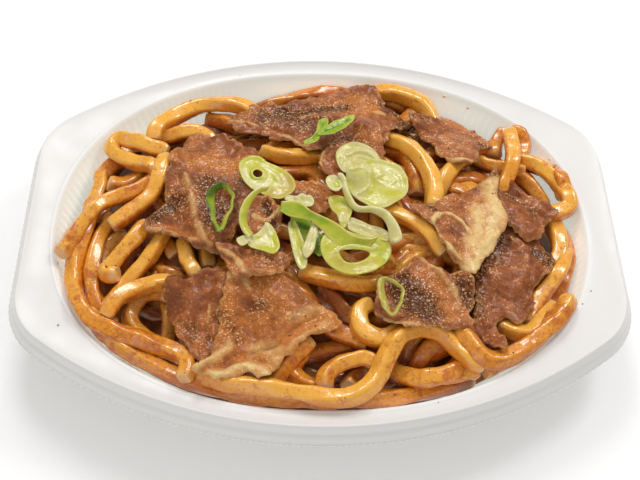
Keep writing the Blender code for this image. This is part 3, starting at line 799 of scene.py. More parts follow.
# ------------------------------------------------------------------ tray
@dataclass
class Tray:
    """Moulded tray: an oval well, a wide flange and a flared skirt with a beaded lip."""

    finish: TrayFinish
    rim_height: float = 34.0
    end_half: float = 117.5
    side_half: float = 88.0
    side_radius: float = 182.0
    corner_radius: float = 25.0
    well: tuple[float, float] = (107.0, 81.0)
    well_drop: float = 2.0
    oval_power: float = 2.2
    skirt_drop: float = 8.0
    skirt_flare: float = 4.0
    wall: float = 1.1
    floor: float = 1.6
    columns: int = 1080
    bead_every: int = 4
    flute_depth: float = 0.35
    flute_rate: float = 190.0
    wall_insets: tuple[float, ...] = (-9.0, 0.0, 7.5, 11.0, 16.0)
    wall_heights: tuple[float, ...] = (34.0, 32.0, 8.0, 3.0, 1.6)

    def oval(self, angle: Array, inset: float) -> Array:
        """Return the well's reach in each direction.

        Args:
            angle: the directions.
            inset: how far it is drawn in.

        Returns:
            A reach for each direction.
        """
        across = np.abs(np.cos(angle)) / (self.well[0] - inset)
        along = np.abs(np.sin(angle)) / (self.well[1] - inset)
        return (across**self.oval_power + along**self.oval_power) ** (-1.0 / self.oval_power)

    def rim(self, angle: Array, grow: float) -> Array:
        """Return the rim's reach: straight ends, round corners and bowed sides.

        Args:
            angle: the directions.
            grow: how far outside the rim's own line.

        Returns:
            A reach for each direction.
        """
        ux, uy = np.abs(np.cos(angle)), np.abs(np.sin(angle))
        middle = self.side_half - self.side_radius
        corner_x = self.end_half - self.corner_radius
        corner_y = middle + math.sqrt((self.side_radius - self.corner_radius) ** 2 - corner_x**2)
        stretch = (self.side_radius + grow) / (self.side_radius - self.corner_radius)
        bow_x, bow_y = corner_x * stretch, middle + (corner_y - middle) * stretch
        end = (self.end_half + grow) / np.maximum(ux, 1e-9)
        part = uy * middle
        side = part + np.sqrt(part**2 - middle**2 + (self.side_radius + grow) ** 2)
        part = ux * corner_x + uy * corner_y
        inside = part**2 - corner_x**2 - corner_y**2 + (self.corner_radius + grow) ** 2
        corner = part + np.sqrt(np.maximum(inside, 0.0))
        at_end = np.arctan2(uy, ux) <= math.atan2(corner_y, self.end_half + grow)
        return np.where(at_end, end, np.where(uy * bow_x >= ux * bow_y, side, corner))

    def beads(self, angle: Array) -> Array:
        """Return one where the lip carries a bead, nought between."""
        return 1.0 * (np.arange(len(angle)) % self.bead_every < self.bead_every // 2)

    def flute(self, angle: Array) -> Array:
        """Return how far the wall's fine flutes stand in, at the tray's two ends."""
        ends = np.clip(np.abs(np.cos(angle)) * 1.35 - 0.55, 0.0, 1.0)
        return self.flute_depth * ends * np.sin(angle * self.flute_rate)

    def profile(self, angle: Array) -> list[Ring]:
        """Return the tray's section in each direction, from the lip in and back out.

        Args:
            angle: the directions.

        Returns:
            Each ring's reach, height and well depth.
        """
        edge = self.rim_height - self.well_drop
        skirt = self.rim_height - self.skirt_drop
        well_edge = self.oval(angle, 0.0)
        flute = self.flute(angle)

        def ring(reach: Array, height: float, deep: float = 0.0) -> Ring:
            """Return a level ring."""
            return reach, np.full_like(angle, height), deep

        def rim(grow: float, height: float) -> Ring:
            """Return a ring that follows the rim."""
            return ring(self.rim(angle, grow), height)

        def flange(share: float) -> Ring:
            """Return a ring on the flange.

            Args:
                share: how far it is from the rim to the well.

            Returns:
                The ring.
            """
            reach = self.rim(angle, -0.9) * (1 - share) + (well_edge + 1.2) * share
            dish = 0.9 * share * (1.0 - share)
            height = self.rim_height - 0.15 - (self.well_drop - 0.35) * share**0.8 - dish
            return ring(reach, height)

        def oval(inset: float, height: float, deep: float = 0.0, flutes: float = 0.0) -> Ring:
            """Return a ring that follows the well."""
            return ring(self.oval(angle, inset) - flute * flutes, height, deep)

        bead = 0.28 * self.beads(angle)
        lip = self.rim(angle, self.skirt_flare - 0.45)
        return [
            ring(lip - 0.5, skirt - 0.8), ring(lip + bead, skirt - 0.75),
            ring(lip + 0.1 + bead, skirt - 0.2), ring(lip, skirt), ring(lip - 0.25, skirt + 0.25),
            rim(2.9, skirt + 2.0), rim(2.0, skirt + 3.6), rim(1.55, skirt + 4.0),
            rim(1.2, skirt + 4.6), rim(0.7, skirt + 6.2), rim(0.25, self.rim_height - 0.7),
            rim(-0.1, self.rim_height - 0.2), rim(-0.5, self.rim_height),
            flange(0.0), flange(0.06), flange(0.2), flange(0.4), flange(0.6), flange(0.8),
            flange(0.93), flange(1.0),
            oval(-0.6, edge + 0.28, 0.1), oval(0.1, edge - 0.1, 0.25), oval(0.7, edge - 1.0, 0.5),
            oval(1.6, edge - 4.0, 0.8, 0.5), oval(3.0, edge - 9.0, 1.0, 1.0),
            oval(4.6, edge - 14.5, 1.0, 1.0), oval(6.4, edge - 20.5, 1.0, 1.0),
            oval(7.6, 8.0, 1.0, 0.6), oval(8.9, 5.2, 1.0), oval(10.8, 3.2, 1.0),
            oval(13.4, 2.0, 1.0), oval(16.5, self.floor, 1.0), oval(50.0, self.floor, 1.0),
            oval(50.0, 0.0), oval(15.6, 0.0), oval(12.2, 0.5), oval(9.9, 1.7), oval(7.6, 4.2),
            oval(6.4, 8.0), oval(-0.6, edge - 2.4), oval(-1.4, edge - 1.2),
            rim(-self.wall - 0.5, self.rim_height - self.wall),
            rim(1.7 - self.wall, skirt + 3.8), rim(self.skirt_flare - self.wall - 0.4, skirt - 0.7),
        ]

    def build(self) -> Object:
        """Build the tray as one closed shell that stands for its solid.

        Returns:
            The finished tray.
        """
        angle = around(self.columns)
        rings = self.profile(angle)
        points, deep, bead = [], [], []
        for row, (reach, height, depth) in enumerate(rings):
            points.append(polar(reach, angle, height))
            deep.append(np.full(len(angle), depth))
            bead.append(2.0 * self.beads(angle) - 1.0 if row in (1, 2) else 0.0 * angle)
        base = next(row for row, (_, height, _) in enumerate(rings) if height[0] == 0.0)
        faces = []
        for row in range(len(rings)):
            if row != base - 1:
                faces += ring_quads(row, (row + 1) % len(rings), self.columns)
        faces.append(tuple(range((base - 1) * self.columns, base * self.columns)))
        faces.append(tuple(reversed(range(base * self.columns, (base + 1) * self.columns))))
        # The well depth drives the painted light in the well; the bead marks drive the lip's
        # painted highlight and shade.
        tray = build_mesh("tray_shell", np.vstack(points), faces, {"well": np.concatenate(deep),
                                                                 "bead": np.concatenate(bead)},
                          self.finish.make())
        tray.data.set_sharp_from_angle(angle=math.radians(50))
        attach(tray, "root")
        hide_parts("tray")
        return tray


# ------------------------------------------------------------------ heap
@dataclass
class Strand:
    """One noodle: how deep it lies, how its ends tuck in, its route and its colour."""

    depth: float
    tucks: tuple[float, float]
    route: Plan
    tone: float = 0.5


def strand(depth: float, start: float, end: float, tone: float, *route: tuple) -> Strand:
    """Return a strand from its depth, its two tucks, its tone and its route."""
    return Strand(depth, (start, end), route, tone)


LEFT_UNDER = (
    strand(5, 0, 6, 0.75, (-92, 30), (-92, 19), (-94, 10), (-95, 1)),
    strand(6, 0, 3, 0.9, (-88, 20), (-82, 20), (-77, 23), (-71, 30)),
    strand(10, 0, 0, 0.6, (-70, -16), (-63, -9), (-58, -15)),
    strand(9, 0, 0, 0.5, (-47, -8), (-45, -21)),
    strand(6, 5, 4, 1.0, (-92, 28), (-88, 33), (-82, 35), (-77, 32)),
    strand(8, 3, 3, 0.6, (-79, -2), (-85, -7), (-89, -15), (-89, -28), (-85, -37)),
    strand(7, 6, 2, 0.65, (-86, 7), (-89, -7), (-90, -23), (-87, -36), (-80, -44)),
    strand(9, 2, 3, 0.6, (-61, -34), (-59, -42), (-60, -51)),
    strand(7, 3, 2, 0.7, (-59, -34), (-69, -32), (-74, -40), (-70, -47), (-62, -53)),
    strand(5, 4, 2, 0.45, (-61, -4), (-68, -17), (-78, -30), (-82, -40)),
    strand(5, 5, 3, 0.35, (-55, -9), (-53, -18), (-49, -26)),
)
EDGE_UNDER = (
    strand(10, 4, 5, 0.7, (-90, -38), (-82, -49), (-73, -57), (-62, -63), (-50, -68), (-38, -71),
           (-24, -74), (-10, -75.5), (4, -76), (18, -74.5), (32, -71), (45, -67), (57, -61)),
    strand(8, 2, 2, 0.85, (60, -63), (71, -57), (81, -50), (90, -41)),
    strand(9, 8, 2, 0.6, (-97, -20), (-97, -10), (-95, 4), (-90, 14)),
    strand(9, 2, 2, 0.6, (-92, 27), (-86, 40), (-76, 51)),
    strand(5, 3, 3, 0.75, (77, 35), (84, 29), (90, 22), (94, 14)),
    strand(8, 3, 3, 0.7, (84, 40), (92, 34), (99, 24), (101, 14)),
    strand(9, 3, 3, 0.75, (99, 4), (100, -9), (97, -21), (92, -31)),
    strand(6, 3, 3, 0.7, (62, 40), (70, 34), (79, 30), (86, 30)),
    strand(9, 5, 3, 0.75, (-34, 66), (-24, 70), (-10, 73.5), (4, 74.5), (18, 73.5), (30, 71)),
    strand(10, 3, 4, 0.8, (24, 73), (36, 69), (48, 64), (58, 59), (68, 52), (76, 45)),
    strand(12, 4, 4, 0.85, (-46, 55), (-32, 61), (-16, 65), (0, 67), (16, 66), (30, 62)),
)
FAR_UNDER = (
    strand(9, 2, 3, 0.8, (-73, 48), (-66, 45), (-59, 46)),
    strand(3, 3, 5, 0.6, (-71, 46), (-64, 46), (-55, 47), (-46, 44)),
    strand(6, 3, 3, 0.9, (-50, 60), (-42, 57), (-34, 52)),
    strand(7, 2, 2, 0.7, (32, 52), (37, 58), (42, 64)),
    strand(8, 2, 2, 0.5, (43, 36), (50, 39), (57, 40)),
    strand(8, 2, 2, 0.7, (65, 39), (71, 42), (76, 45)),
)
NEAR_UNDER = (
    strand(11, 2, 6, 0.8, (-18, -57), (-2, -55), (11, -53), (21, -51)),
    strand(9, 3, 3, 0.8, (-8, -56), (-12, -63), (-6, -69), (3, -67)),
    strand(8, 2, 2, 0.8, (-5, -53), (-12, -60), (-18, -67), (-23, -71)),
    strand(7, 2, 2, 0.7, (43, -65), (51, -63), (58, -62)),
    strand(6, 8, 4, 0.7, (25, -59), (29, -64), (38, -67), (47, -64), (54, -57)),
    strand(10, 2, 2, 0.9, (-1, -29), (6, -36), (11, -43)),
    strand(7, 2, 6, 0.75, (-4, -44), (8, -50), (16, -54)),
    strand(4, 3, 3, 0.65, (-9, -25), (2, -29), (13, -31), (23, -29)),
    strand(9, 2, 2, 0.8, (9, -69), (11, -64), (16, -61)),
)
RIGHT_UNDER = (
    strand(7, 2, 2, 0.55, (93, 9), (96, -1), (95, -13), (88, -23), (82, -31)),
    strand(4, 3, 4, 0.7, (98, -10), (95, -19), (89, -27), (83, -35), (78, -43)),
    strand(5, 3, 3, 0.5, (68, -43), (76, -48), (83, -44), (90, -34)),
    strand(6, 3, 3, 0.75, (27, 39), (35, 33), (39, 23), (39, 14)),
    strand(5, 3, 5, 0.3, (63, 35), (56, 29), (50, 21), (46, 11)),
)
ON_TOP = (
    strand(3, 3, 3, 0.35, (-25, 34), (-17, 30), (-8, 29), (2, 31)),
    strand(0, 0, 3, 0.55, (-82, -45), (-77, -36), (-69, -32), (-58, -30)),
    strand(0, 3, 3, 0.65, (-79, -26), (-84, -25), (-81, -20), (-75, -12), (-70, -3)),
    strand(0, 7, 3, 0.75, (-92, 6), (-95, -5), (-97, -18), (-96, -29), (-92.5, -38), (-88, -44),
           (-82, -48), (-74, -52), (-66, -54.5), (-58, -56.5), (-52, -60), (-50, -65), (-51, -70)),
    strand(0, 0, 3, 0.75, (-102, -17), (-94, -2), (-86, 8), (-75, 13), (-67, 21)),
    strand(0, 0, 4, 0.45, (-84, -4), (-76, 2), (-69, 9), (-66, 17), (-64, 28)),
    strand(0, 5, 7, 0.25, (-71, 40), (-70, 46), (-64, 55), (-53, 62), (-42, 62), (-33, 60),
           (-25, 54)),
    strand(0, 4, 5, 0.35, (-67, 21), (-72, 25), (-79.5, 29.5), (-86.5, 35), (-88.5, 40),
           (-84.5, 43), (-78, 38.5), (-71.5, 34.5), (-64, 32)),
    strand(3, 5, 8, 0.55, (0, -71), (1, -66), (6, -62), (14, -60), (19, -62)),
    strand(2, 4, 3, 0.15, (18, -38), (13, -43), (14, -51), (22, -53), (29, -48)),
    strand(0, 6, 8, 0.4, (-46, -66), (-37, -70), (-27, -72), (-16, -74), (-5, -76), (5, -77),
           (13, -75), (19, -69), (23, -61), (28, -54), (36, -50), (44, -51.5), (50, -57),
           (55, -61), (59, -62)),
    strand(0, 0, 5, 0.7, (95, -35), (89, -44), (78, -54), (66, -61), (58, -60), (50, -49)),
    strand(2, 4, 4, 0.6, (83, 36), (92, 30), (99, 21), (102, 11), (98, 7), (91, 6)),
    strand(6, 3, 1, 0.85, (74, 38), (76, 45), (80, 51)),
    strand(1, 4, 0, 0.7, (85, 35), (87, 41), (86, 46), (82, 49)),
    strand(0, 6, 0, 0.65, (72, 15), (77, 23), (80, 31), (81, 39), (81, 47)),
    strand(0, 3, 7, 0.3, (23, 71), (32, 72), (40, 68.5), (47, 62), (50, 54)),
    strand(0, 3, 4, 0.05, (27, 41), (37, 33), (43, 22), (45, 12), (44, 3)),
    strand(0, 3, 4, 0.25, (23, 2), (33, -4), (41, -10), (47, -18)),
)
STRANDS = EDGE_UNDER + LEFT_UNDER + FAR_UNDER + NEAR_UNDER + RIGHT_UNDER + ON_TOP


@dataclass
class Heap:
    """The noodles: settled strands that show, seeded ones below, and the sauced core."""

    tray: Tray
    finish: NoodleFinish
    core_finish: CoreFinish
    radius: float = 3.7
    crown: float = 15.0
    crown_power: float = 2.6
    tuck: float = 18.0
    press: float = 0.5
    push_limit: float = 4.5
    fillers: int = 260
    pitch: float = 1.15
    pitch_below: float = 2.1
    seed: int = 11
    half_x: int = 124
    half_y: int = 94
    width_share: float = 0.87
    corner_share: float = 0.48
    step: float = 2.0
    sag: float = 0.1
    relax_rounds: int = 200
    soften_rounds: int = 12
    edge_gap: float = 5.0
    fewest_points: int = 9
    farthest_middle: float = 0.93
    farthest_end: float = 0.84
    core_columns: int = 96

    def __post_init__(self) -> None:
        """Lay out the one-millimetre grid that holds the tray's and the heap's heights."""
        xs = np.arange(-self.half_x, self.half_x + 1.0)
        ys = np.arange(-self.half_y, self.half_y + 1.0)
        self.x, self.y = np.meshgrid(xs, ys, indexing="ij")
        well_x, well_y = self.tray.well
        power = self.tray.oval_power
        self.share = ((np.abs(self.x) / well_x) ** power
                      + (np.abs(self.y) / well_y) ** power) ** (1.0 / power)
        distance = np.hypot(self.x, self.y) + 1e-9
        inset = distance / np.maximum(self.share, 1e-9) - distance - 0.9
        self.wall = 0.35 + np.interp(inset, self.tray.wall_insets, self.tray.wall_heights)
        self.top = self.wall.copy()
        self.under = np.full_like(self.wall, 99.0)

    def dome(self, x: Array, y: Array) -> Array:
        """Return the height of the heap's outer surface.

        Args:
            x: places along the tray.
            y: places across the tray.

        Returns:
            One height for each.
        """
        reach = np.hypot(x / self.tray.well[0], y / self.tray.well[1])
        fall = np.clip(1.0 - reach**self.crown_power, 0.0, 1.0)
        return self.tray.rim_height - self.tray.well_drop + self.crown * fall

    def _ball(self, x: float, y: float) -> tuple[tuple[slice, slice], Array, Array]:
        """Return what a ball as thick as a strand covers.

        Args:
            x: the ball's place along the tray.
            y: the ball's place across the tray.

        Returns:
            The grid's slices round it, which cells it covers and its half height over each.
        """
        low_x = max(int(math.floor(x - self.radius)) + self.half_x, 0)
        low_y = max(int(math.floor(y - self.radius)) + self.half_y, 0)
        here = (slice(low_x, int(math.ceil(x + self.radius)) + self.half_x + 1),
                slice(low_y, int(math.ceil(y + self.radius)) + self.half_y + 1))
        off = (self.x[here] - x) ** 2 + (self.y[here] - y) ** 2
        return here, off < self.radius**2, np.sqrt(np.maximum(self.radius**2 - off, 0.0))

    def _rest(self, ground: Array, x: float, y: float) -> float:
        """Return the lowest centre of a ball resting on a ground."""
        here, inside, half = self._ball(x, y)
        return float((ground[here] + half)[inside].max())

    def _stamp(self, line: Array) -> None:
        """Raise the top, and lower the underside, to one more tube.

        Args:
            line: the tube's centreline.
        """
        for start, end in zip(line, line[1:]):
            for t in (0.0, 0.34, 0.67):
                x, y, z = start + (end - start) * t
                here, inside, half = self._ball(x, y)
                self.top[here] = np.maximum(self.top[here], np.where(inside, z + half, -1.0))
                self.under[here] = np.minimum(self.under[here], np.where(inside, z - half, 99.0))

    def settle(self, piece: Strand) -> Array:
        """Lay a strand near the crown and over what is already there.

        Args:
            piece: the strand.

        Returns:
            Its centreline, a point at each step.
        """
        plan = smooth_route(piece.route, self.step)
        along = np.arange(len(plan)) * self.step
        height = self.dome(plan[:, 0], plan[:, 1]) - self.radius - piece.depth
        height -= piece.tucks[0] * np.clip(1.0 - along / self.tuck, 0.0, 1.0) ** 2
        height -= piece.tucks[1] * np.clip(1.0 - (along[-1] - along) / self.tuck, 0.0, 1.0) ** 2
        rest = np.array([self._rest(self.top, x, y) for x, y in plan])
        wall = np.array([self._rest(self.wall, x, y) for x, y in plan])
        floor = np.clip(rest - self.press * self.radius, height, height + self.push_limit)
        floor = np.maximum(floor, wall)
        height = floor
        for _ in range(self.relax_rounds):
            padded = np.r_[height[0], height, height[-1]]
            height = np.maximum(floor, 0.5 * (padded[:-2] + padded[2:]) - self.sag)
        line = np.column_stack([plan, height])
        self._stamp(line)
        return line

    def sink(self, draw: np.random.Generator) -> Array | None:
        """Lay one seeded strand below those that show.

        Args:
            draw: the random source.

        Returns:
            Its centreline, or nothing where it doesn't fit.
        """
        well_x, well_y = self.tray.well
        angle = draw.uniform(0.0, 2.0 * math.pi)
        reach = math.sqrt(draw.uniform(0.05, 1.0)) * self.farthest_middle
        middle = np.array([math.cos(angle) * well_x, math.sin(angle) * well_y]) * reach
        heading = angle + math.pi / 2 + draw.normal(0.0, 0.7)
        bend = draw.uniform(-0.045, 0.045)
        count = int(draw.integers(14, 30))
        plan = [middle]
        for _ in range(count):
            heading += bend * self.step + draw.normal(0.0, 0.05)
            x, y = plan[-1] + self.step * np.array([math.cos(heading), math.sin(heading)])
            plan.append(np.array([x, y]))
            if np.hypot(x / (well_x - self.edge_gap), y / (well_y - self.edge_gap)) > 1.0:
                break
        plan = np.array(plan)
        ends = np.hypot(plan[[0, -1], 0] / well_x, plan[[0, -1], 1] / well_y)
        if len(plan) < self.fewest_points or ends.max() > self.farthest_end:
            return None
        depth = draw.uniform(5.5, 14.0)
        height = self.dome(plan[:, 0], plan[:, 1]) - self.radius - depth
        for k, (x, y) in enumerate(plan):
            here, inside, half = self._ball(x, y)
            lowest = (self.under[here] - half)[inside].min()
            height[k] = max(min(height[k], lowest + 1.3), self._rest(self.wall, x, y) + 0.2)
        for _ in range(self.soften_rounds):
            padded = np.r_[height[0], height, height[-1]]
            height = 0.5 * height + 0.25 * (padded[:-2] + padded[2:])
        along = self.step * np.arange(len(plan))
        near_end = np.minimum(along, along[-1] - along)
        return np.column_stack([plan, height - 5.0 * np.clip(1.0 - near_end / 12.0, 0, 1) ** 2])

    def chains(self, name: str, pieces: list[tuple[Array, float, float]], pitch: float,
               seed: int) -> Object:
        """Make chains of edges that carry each strand's girth, twist and colour traits.

        Args:
            name: the object's name.
            pieces: centrelines with their tone and how far under they lie.
            pitch: the length of an edge.
            seed: the seed of the small changes in girth.

        Returns:
            The object of edges.
        """
        draw = np.random.default_rng(seed)
        points, edges = [], []
        traits = {"girth": [], "twist": [], "tone": [], "under": [], "tip": []}
        for line, tone, under in pieces:
            fine = smooth_route(tuple(map(tuple, line)), pitch)
            count = len(fine)
            along = np.arange(count) * pitch
            back = along[-1] - along
            phase = draw.uniform(0.0, 6.3, 4)
            girth = (1.0 + 0.05 * np.sin(along / 9.0 + phase[0])
                     + 0.03 * np.sin(along / 4.1 + phase[1]) + draw.uniform(-0.09, 0.04))
            near = np.minimum(along, back)
            girth *= np.interp(near, (0.0, 0.8, 2.2), (0.80, 0.94, 1.0))
            first = len(points)
            points.extend(fine)
            edges.extend((first + k, first + k + 1) for k in range(count - 1))
            traits["girth"].extend(girth)
            traits["twist"].extend(phase[2] + 0.9 * np.sin(along / 24.0 + phase[3]))
            traits["tone"].extend(np.clip(tone + 0.16 * np.sin(along / 14.0 + phase[3]), 0, 1))
            # How far under it lies sets its painted shade.
            traits["under"].extend(np.full(count, under))
            traits["tip"].extend(np.clip(1.0 - near / 6.0, 0.0, 1.0))
        return build_mesh(name, np.array(points), [], traits, None, edges)

    def sweep(self, made: Object, material: Material, corner_points: int) -> Object:
        """Turn chains of edges into rounded square tubes with Geometry Nodes.

        Args:
            made: the object of edges.
            material: the noodles' material.
            corner_points: how many points round each corner of the section.

        Returns:
            The same object with a plain mesh.
        """
        run_recipe(made, noodle_sweep_tree(), {
            "Width": 2.0 * self.radius * self.width_share * MM,
            "Corner Radius": self.corner_share * self.radius * MM,
            "Corner Points": corner_points, "Finish": material})
        mesh = made.data
        self.dent_and_mark_shade(mesh)
        mesh.shade_smooth()
        mesh.set_sharp_from_angle(angle=math.radians(60))
        return made

    def dent_and_mark_shade(self, mesh: Mesh) -> None:
        """Dent the strands slightly and mark how deep each point lies in the heap, for the painted
        shade on deeper strands.

        Args:
            mesh: the strands' mesh.
        """
        flat = np.empty(3 * len(mesh.vertices), np.float32)
        mesh.vertices.foreach_get("co", flat)
        spots = flat.reshape(-1, 3) / MM
        mesh.vertices.foreach_get("normal", flat)
        normals = flat.reshape(-1, 3)
        slant = np.column_stack([spots[:, 0] + 0.7 * spots[:, 2], spots[:, 1] - 0.6 * spots[:, 2]])
        dent = (0.22 * wander(slant, 8.0, 71) + 0.17 * wander(slant, 3.6, 72)
                + 0.07 * wander(slant, 1.7, 73))
        moved = (spots + normals * dent[:, None]) * MM
        mesh.vertices.foreach_set("co", moved.astype(np.float32).ravel())
        layer = mesh.attributes["under"]
        under = np.empty(len(mesh.vertices), np.float32)
        layer.data.foreach_get("value", under)
        # Deeper points get more painted shade.
        depth = self.dome(spots[:, 0], spots[:, 1]) - spots[:, 2]
        under = np.maximum(0.6 * under, 0.85 * ease(depth, 4.5, 15.0))
        layer.data.foreach_set("value", under.astype(np.float32))

    def core(self) -> Object:
        """Build the sauced mound that closes the gaps below the strands; its dark colour is painted
        shade in those gaps.

        Returns:
            The mound.
        """
        rings, columns = [], self.core_columns
        angle = around(columns)
        for inset, height in ((18.0, 2.2), (12.8, 3.8), (9.4, 8.5), (7.6, 13.0), (7.4, 16.0)):
            rings.append(polar(self.tray.oval(angle, inset), angle, height))
        for share in np.linspace(0.86, 0.04, 22):
            ring = polar(share * self.tray.oval(angle, 0.0), angle, 0.0)
            bumps = 1.2 * wander(ring, 7.0, 5)
            fall = np.interp(share, (0.6, 0.86), (13.5, 19.0))
            ring[:, 2] = self.dome(ring[:, 0], ring[:, 1]) - fall + bumps
            rings.append(ring)
        faces = []
        for row in range(len(rings) - 1):
            faces += ring_quads(row, row + 1, columns)
        faces.append(tuple(reversed(range(columns))))
        faces.append(tuple(range((len(rings) - 1) * columns, len(rings) * columns)))
        return build_mesh("heap_core", np.vstack(rings), faces, {}, self.core_finish.make())

    def build(self) -> list[Object]:
        """Lay every strand, those that show first.

        Returns:
            The finished pieces.
        """
        # The last value of each strand is how far under it lies, which sets its painted shade;
        # those below get more.
        shown = [(self.settle(piece), piece.tone, min(piece.depth / 22.0, 0.45))
                 for piece in STRANDS]
        draw = np.random.default_rng(self.seed)
        below = []
        while len(below) < self.fillers:
            line = self.sink(draw)
            if line is not None:
                below.append((line, float(draw.uniform(0.5, 1.0)), float(draw.uniform(0.45, 0.8))))
        material = self.finish.make()
        above_chains = self.chains("noodles_shown", shown, self.pitch, seed=3)
        below_chains = self.chains("noodles_below", below, self.pitch_below, seed=4)
        pieces = [self.sweep(above_chains, material, corner_points=5),
                  self.sweep(below_chains, material, corner_points=3), self.core()]
        for piece in pieces:
            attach(piece, "root")
            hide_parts("noodles")
        return pieces


def noodle_sweep_tree() -> NodeTree:
    """Build the Geometry Nodes that sweep a rounded square along chains of edges.

    Returns:
        The tree.
    """
    recipe = Recipe("noodle_sweep", {"Width": "Float", "Corner Radius": "Float",
                                     "Corner Points": "Int", "Finish": "Material"})
    girth = recipe.make("GeometryNodeInputNamedAttribute", Name="girth")
    twist = recipe.make("GeometryNodeInputNamedAttribute", Name="twist")
    curve = recipe.make("GeometryNodeMeshToCurve", Mesh=recipe.given["Geometry"])
    turned = recipe.make("GeometryNodeSetCurveTilt", Curve=curve.outputs["Curve"],
                         Tilt=twist.outputs["Attribute"])
    square = recipe.make("GeometryNodeCurvePrimitiveQuadrilateral", Width=recipe.given["Width"],
                         Height=recipe.given["Width"])
    section = recipe.make("GeometryNodeFilletCurve", {"mode": "POLY"},
                          Curve=square.outputs["Curve"], Radius=recipe.given["Corner Radius"],
                          Limit_Radius=True, Count=recipe.given["Corner Points"])
    tube = recipe.make("GeometryNodeCurveToMesh", Curve=turned.outputs["Curve"],
                       Profile_Curve=section.outputs["Curve"], Scale=girth.outputs["Attribute"],
                       Fill_Caps=True)
    return recipe.finish(tube.outputs["Mesh"])


# ------------------------------------------------------------------ toppings
class Mark(Enum):
    """What a band on a slice is."""

    FAT = "fat"
    # Painted shade in a crease or gap.
    SEAM = "crease_shade"
    CHAR = "char"
    TAN = "tan"
    FOLD = "fold"


@dataclass(frozen=True)
class Stroke:
    """A band on a slice along a route in plan: its colour, and how far it rises or sinks."""

    mark: Mark
    width: float
    route: Plan
    amount: float = 1.0
    rise: float = 0.0


@dataclass
class Cloth:
    """A fine lattice inside an outline, and how deep inside it each point is."""

    points: Array
    triangles: Array
    inside: Array

    def faces(self) -> list[tuple[int, ...]]:
        """Return the triangles as a mesh's faces."""
        return [tuple(face) for face in self.triangles.tolist()]


def fine_lattice(borders: list[Array], spacing: float) -> Cloth:
    """Fill an outline, less its holes, with an even lattice of triangles.

    Args:
        borders: the outline's points in order, then those of each hole.
        spacing: the lattice's spacing.

    Returns:
        The filled sheet.
    """
    starts = np.vstack(borders)
    ends = np.vstack([np.roll(border, -1, axis=0) for border in borders])
    low, high = starts.min(axis=0), starts.max(axis=0)

    def within(x: Array, y: Array) -> Array:
        """Tell which points are inside the outline and outside its holes.

        Args:
            x: their places along the tray.
            y: their places across the tray.

        Returns:
            A truth value for each.
        """
        crosses = (starts[:, 1] > y[:, None]) != (ends[:, 1] > y[:, None])
        run = np.where(np.abs(ends[:, 1] - starts[:, 1]) < 1e-9, 1e-9, ends[:, 1] - starts[:, 1])
        cut = starts[:, 0] + (y[:, None] - starts[:, 1]) * (ends[:, 0] - starts[:, 0]) / run
        return (crosses & (x[:, None] < cut)).sum(axis=1) % 2 == 1

    row_share, clear_share = 0.866, 0.55
    rows = []
    for row, y in enumerate(np.arange(low[1], high[1], row_share * spacing)):
        xs = np.arange(low[0] + 0.5 * spacing * (row % 2), high[0], spacing)
        rows.append(np.column_stack([xs, np.full_like(xs, y)]))
    inner = np.vstack(rows)
    inner = inner[within(inner[:, 0], inner[:, 1])]
    lines = [np.vstack([border, border[:1]]) for border in borders]
    gap = np.min([distance_to_line(inner, line) for line in lines], axis=0)
    inner = inner[gap > clear_share * spacing]
    edges, count = [], 0
    for border in borders:
        edges += [(count + k, count + (k + 1) % len(border)) for k in range(len(border))]
        count += len(border)
    vectors = [Vector(point) for point in np.vstack([starts, inner]).tolist()]
    found, _, triangles, *_ = delaunay_2d_cdt(vectors, edges, [], 1, 1e-5)
    points = np.array([tuple(point) for point in found])
    triangles = np.array(triangles)
    middles = points[triangles].mean(axis=1)
    triangles = triangles[within(middles[:, 0], middles[:, 1])]
    inside = np.min([distance_to_line(points, line) for line in lines], axis=0)
    return Cloth(points, triangles, inside)


class Solid:
    """A packed topping: its top and underside heights in plan."""

    def __init__(self, node: Object) -> None:
        """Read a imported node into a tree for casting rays.

        Args:
            node: the node's object.
        """
        mesh = node.data
        self.points = np.array([node.matrix_world @ v.co for v in mesh.vertices]) / MM
        polygons = [tuple(p.vertices) for p in mesh.polygons]
        self.tree = BVHTree.FromPolygons(self.points.tolist(), polygons)
        self.low, self.high = self.points.min(axis=0), self.points.max(axis=0)

    def top(self, points: Array) -> Array:
        """Return the top's height under each point, or the nearest place's beyond its edge.

        Args:
            points: places in plan.

        Returns:
            One height for each.
        """
        heights = np.full(len(points), np.nan)
        for k, (x, y) in enumerate(points[:, :2]):
            hit = self.tree.ray_cast(Vector((x, y, ABOVE)), DOWN)
            if hit[0] is not None:
                heights[k] = hit[0].z
        missing = np.flatnonzero(np.isnan(heights))
        for k in missing:
            x, y = points[k, :2]
            near = np.hypot(self.points[:, 0] - x, self.points[:, 1] - y)
            pick = near < near.min() + 0.3
            heights[k] = self.points[pick, 2].max()
        return heights


def relax(values: Array, triangles: Array, rounds: int) -> Array:
    """Smooth values over a triangle mesh by averaging neighbours.

    Args:
        values: one for each point.
        triangles: the mesh's triangles.
        rounds: how many times.

    Returns:
        The smoothed values.
    """
    links = np.vstack([triangles[:, (0, 1)], triangles[:, (1, 2)], triangles[:, (2, 0)]])
    links = np.vstack([links, links[:, ::-1]])
    count = np.bincount(links[:, 0], minlength=len(values)).clip(1)
    for _ in range(rounds):
        total = np.bincount(links[:, 0], weights=values[links[:, 1]], minlength=len(values))
        values = 0.5 * values + 0.5 * total / count
    return values


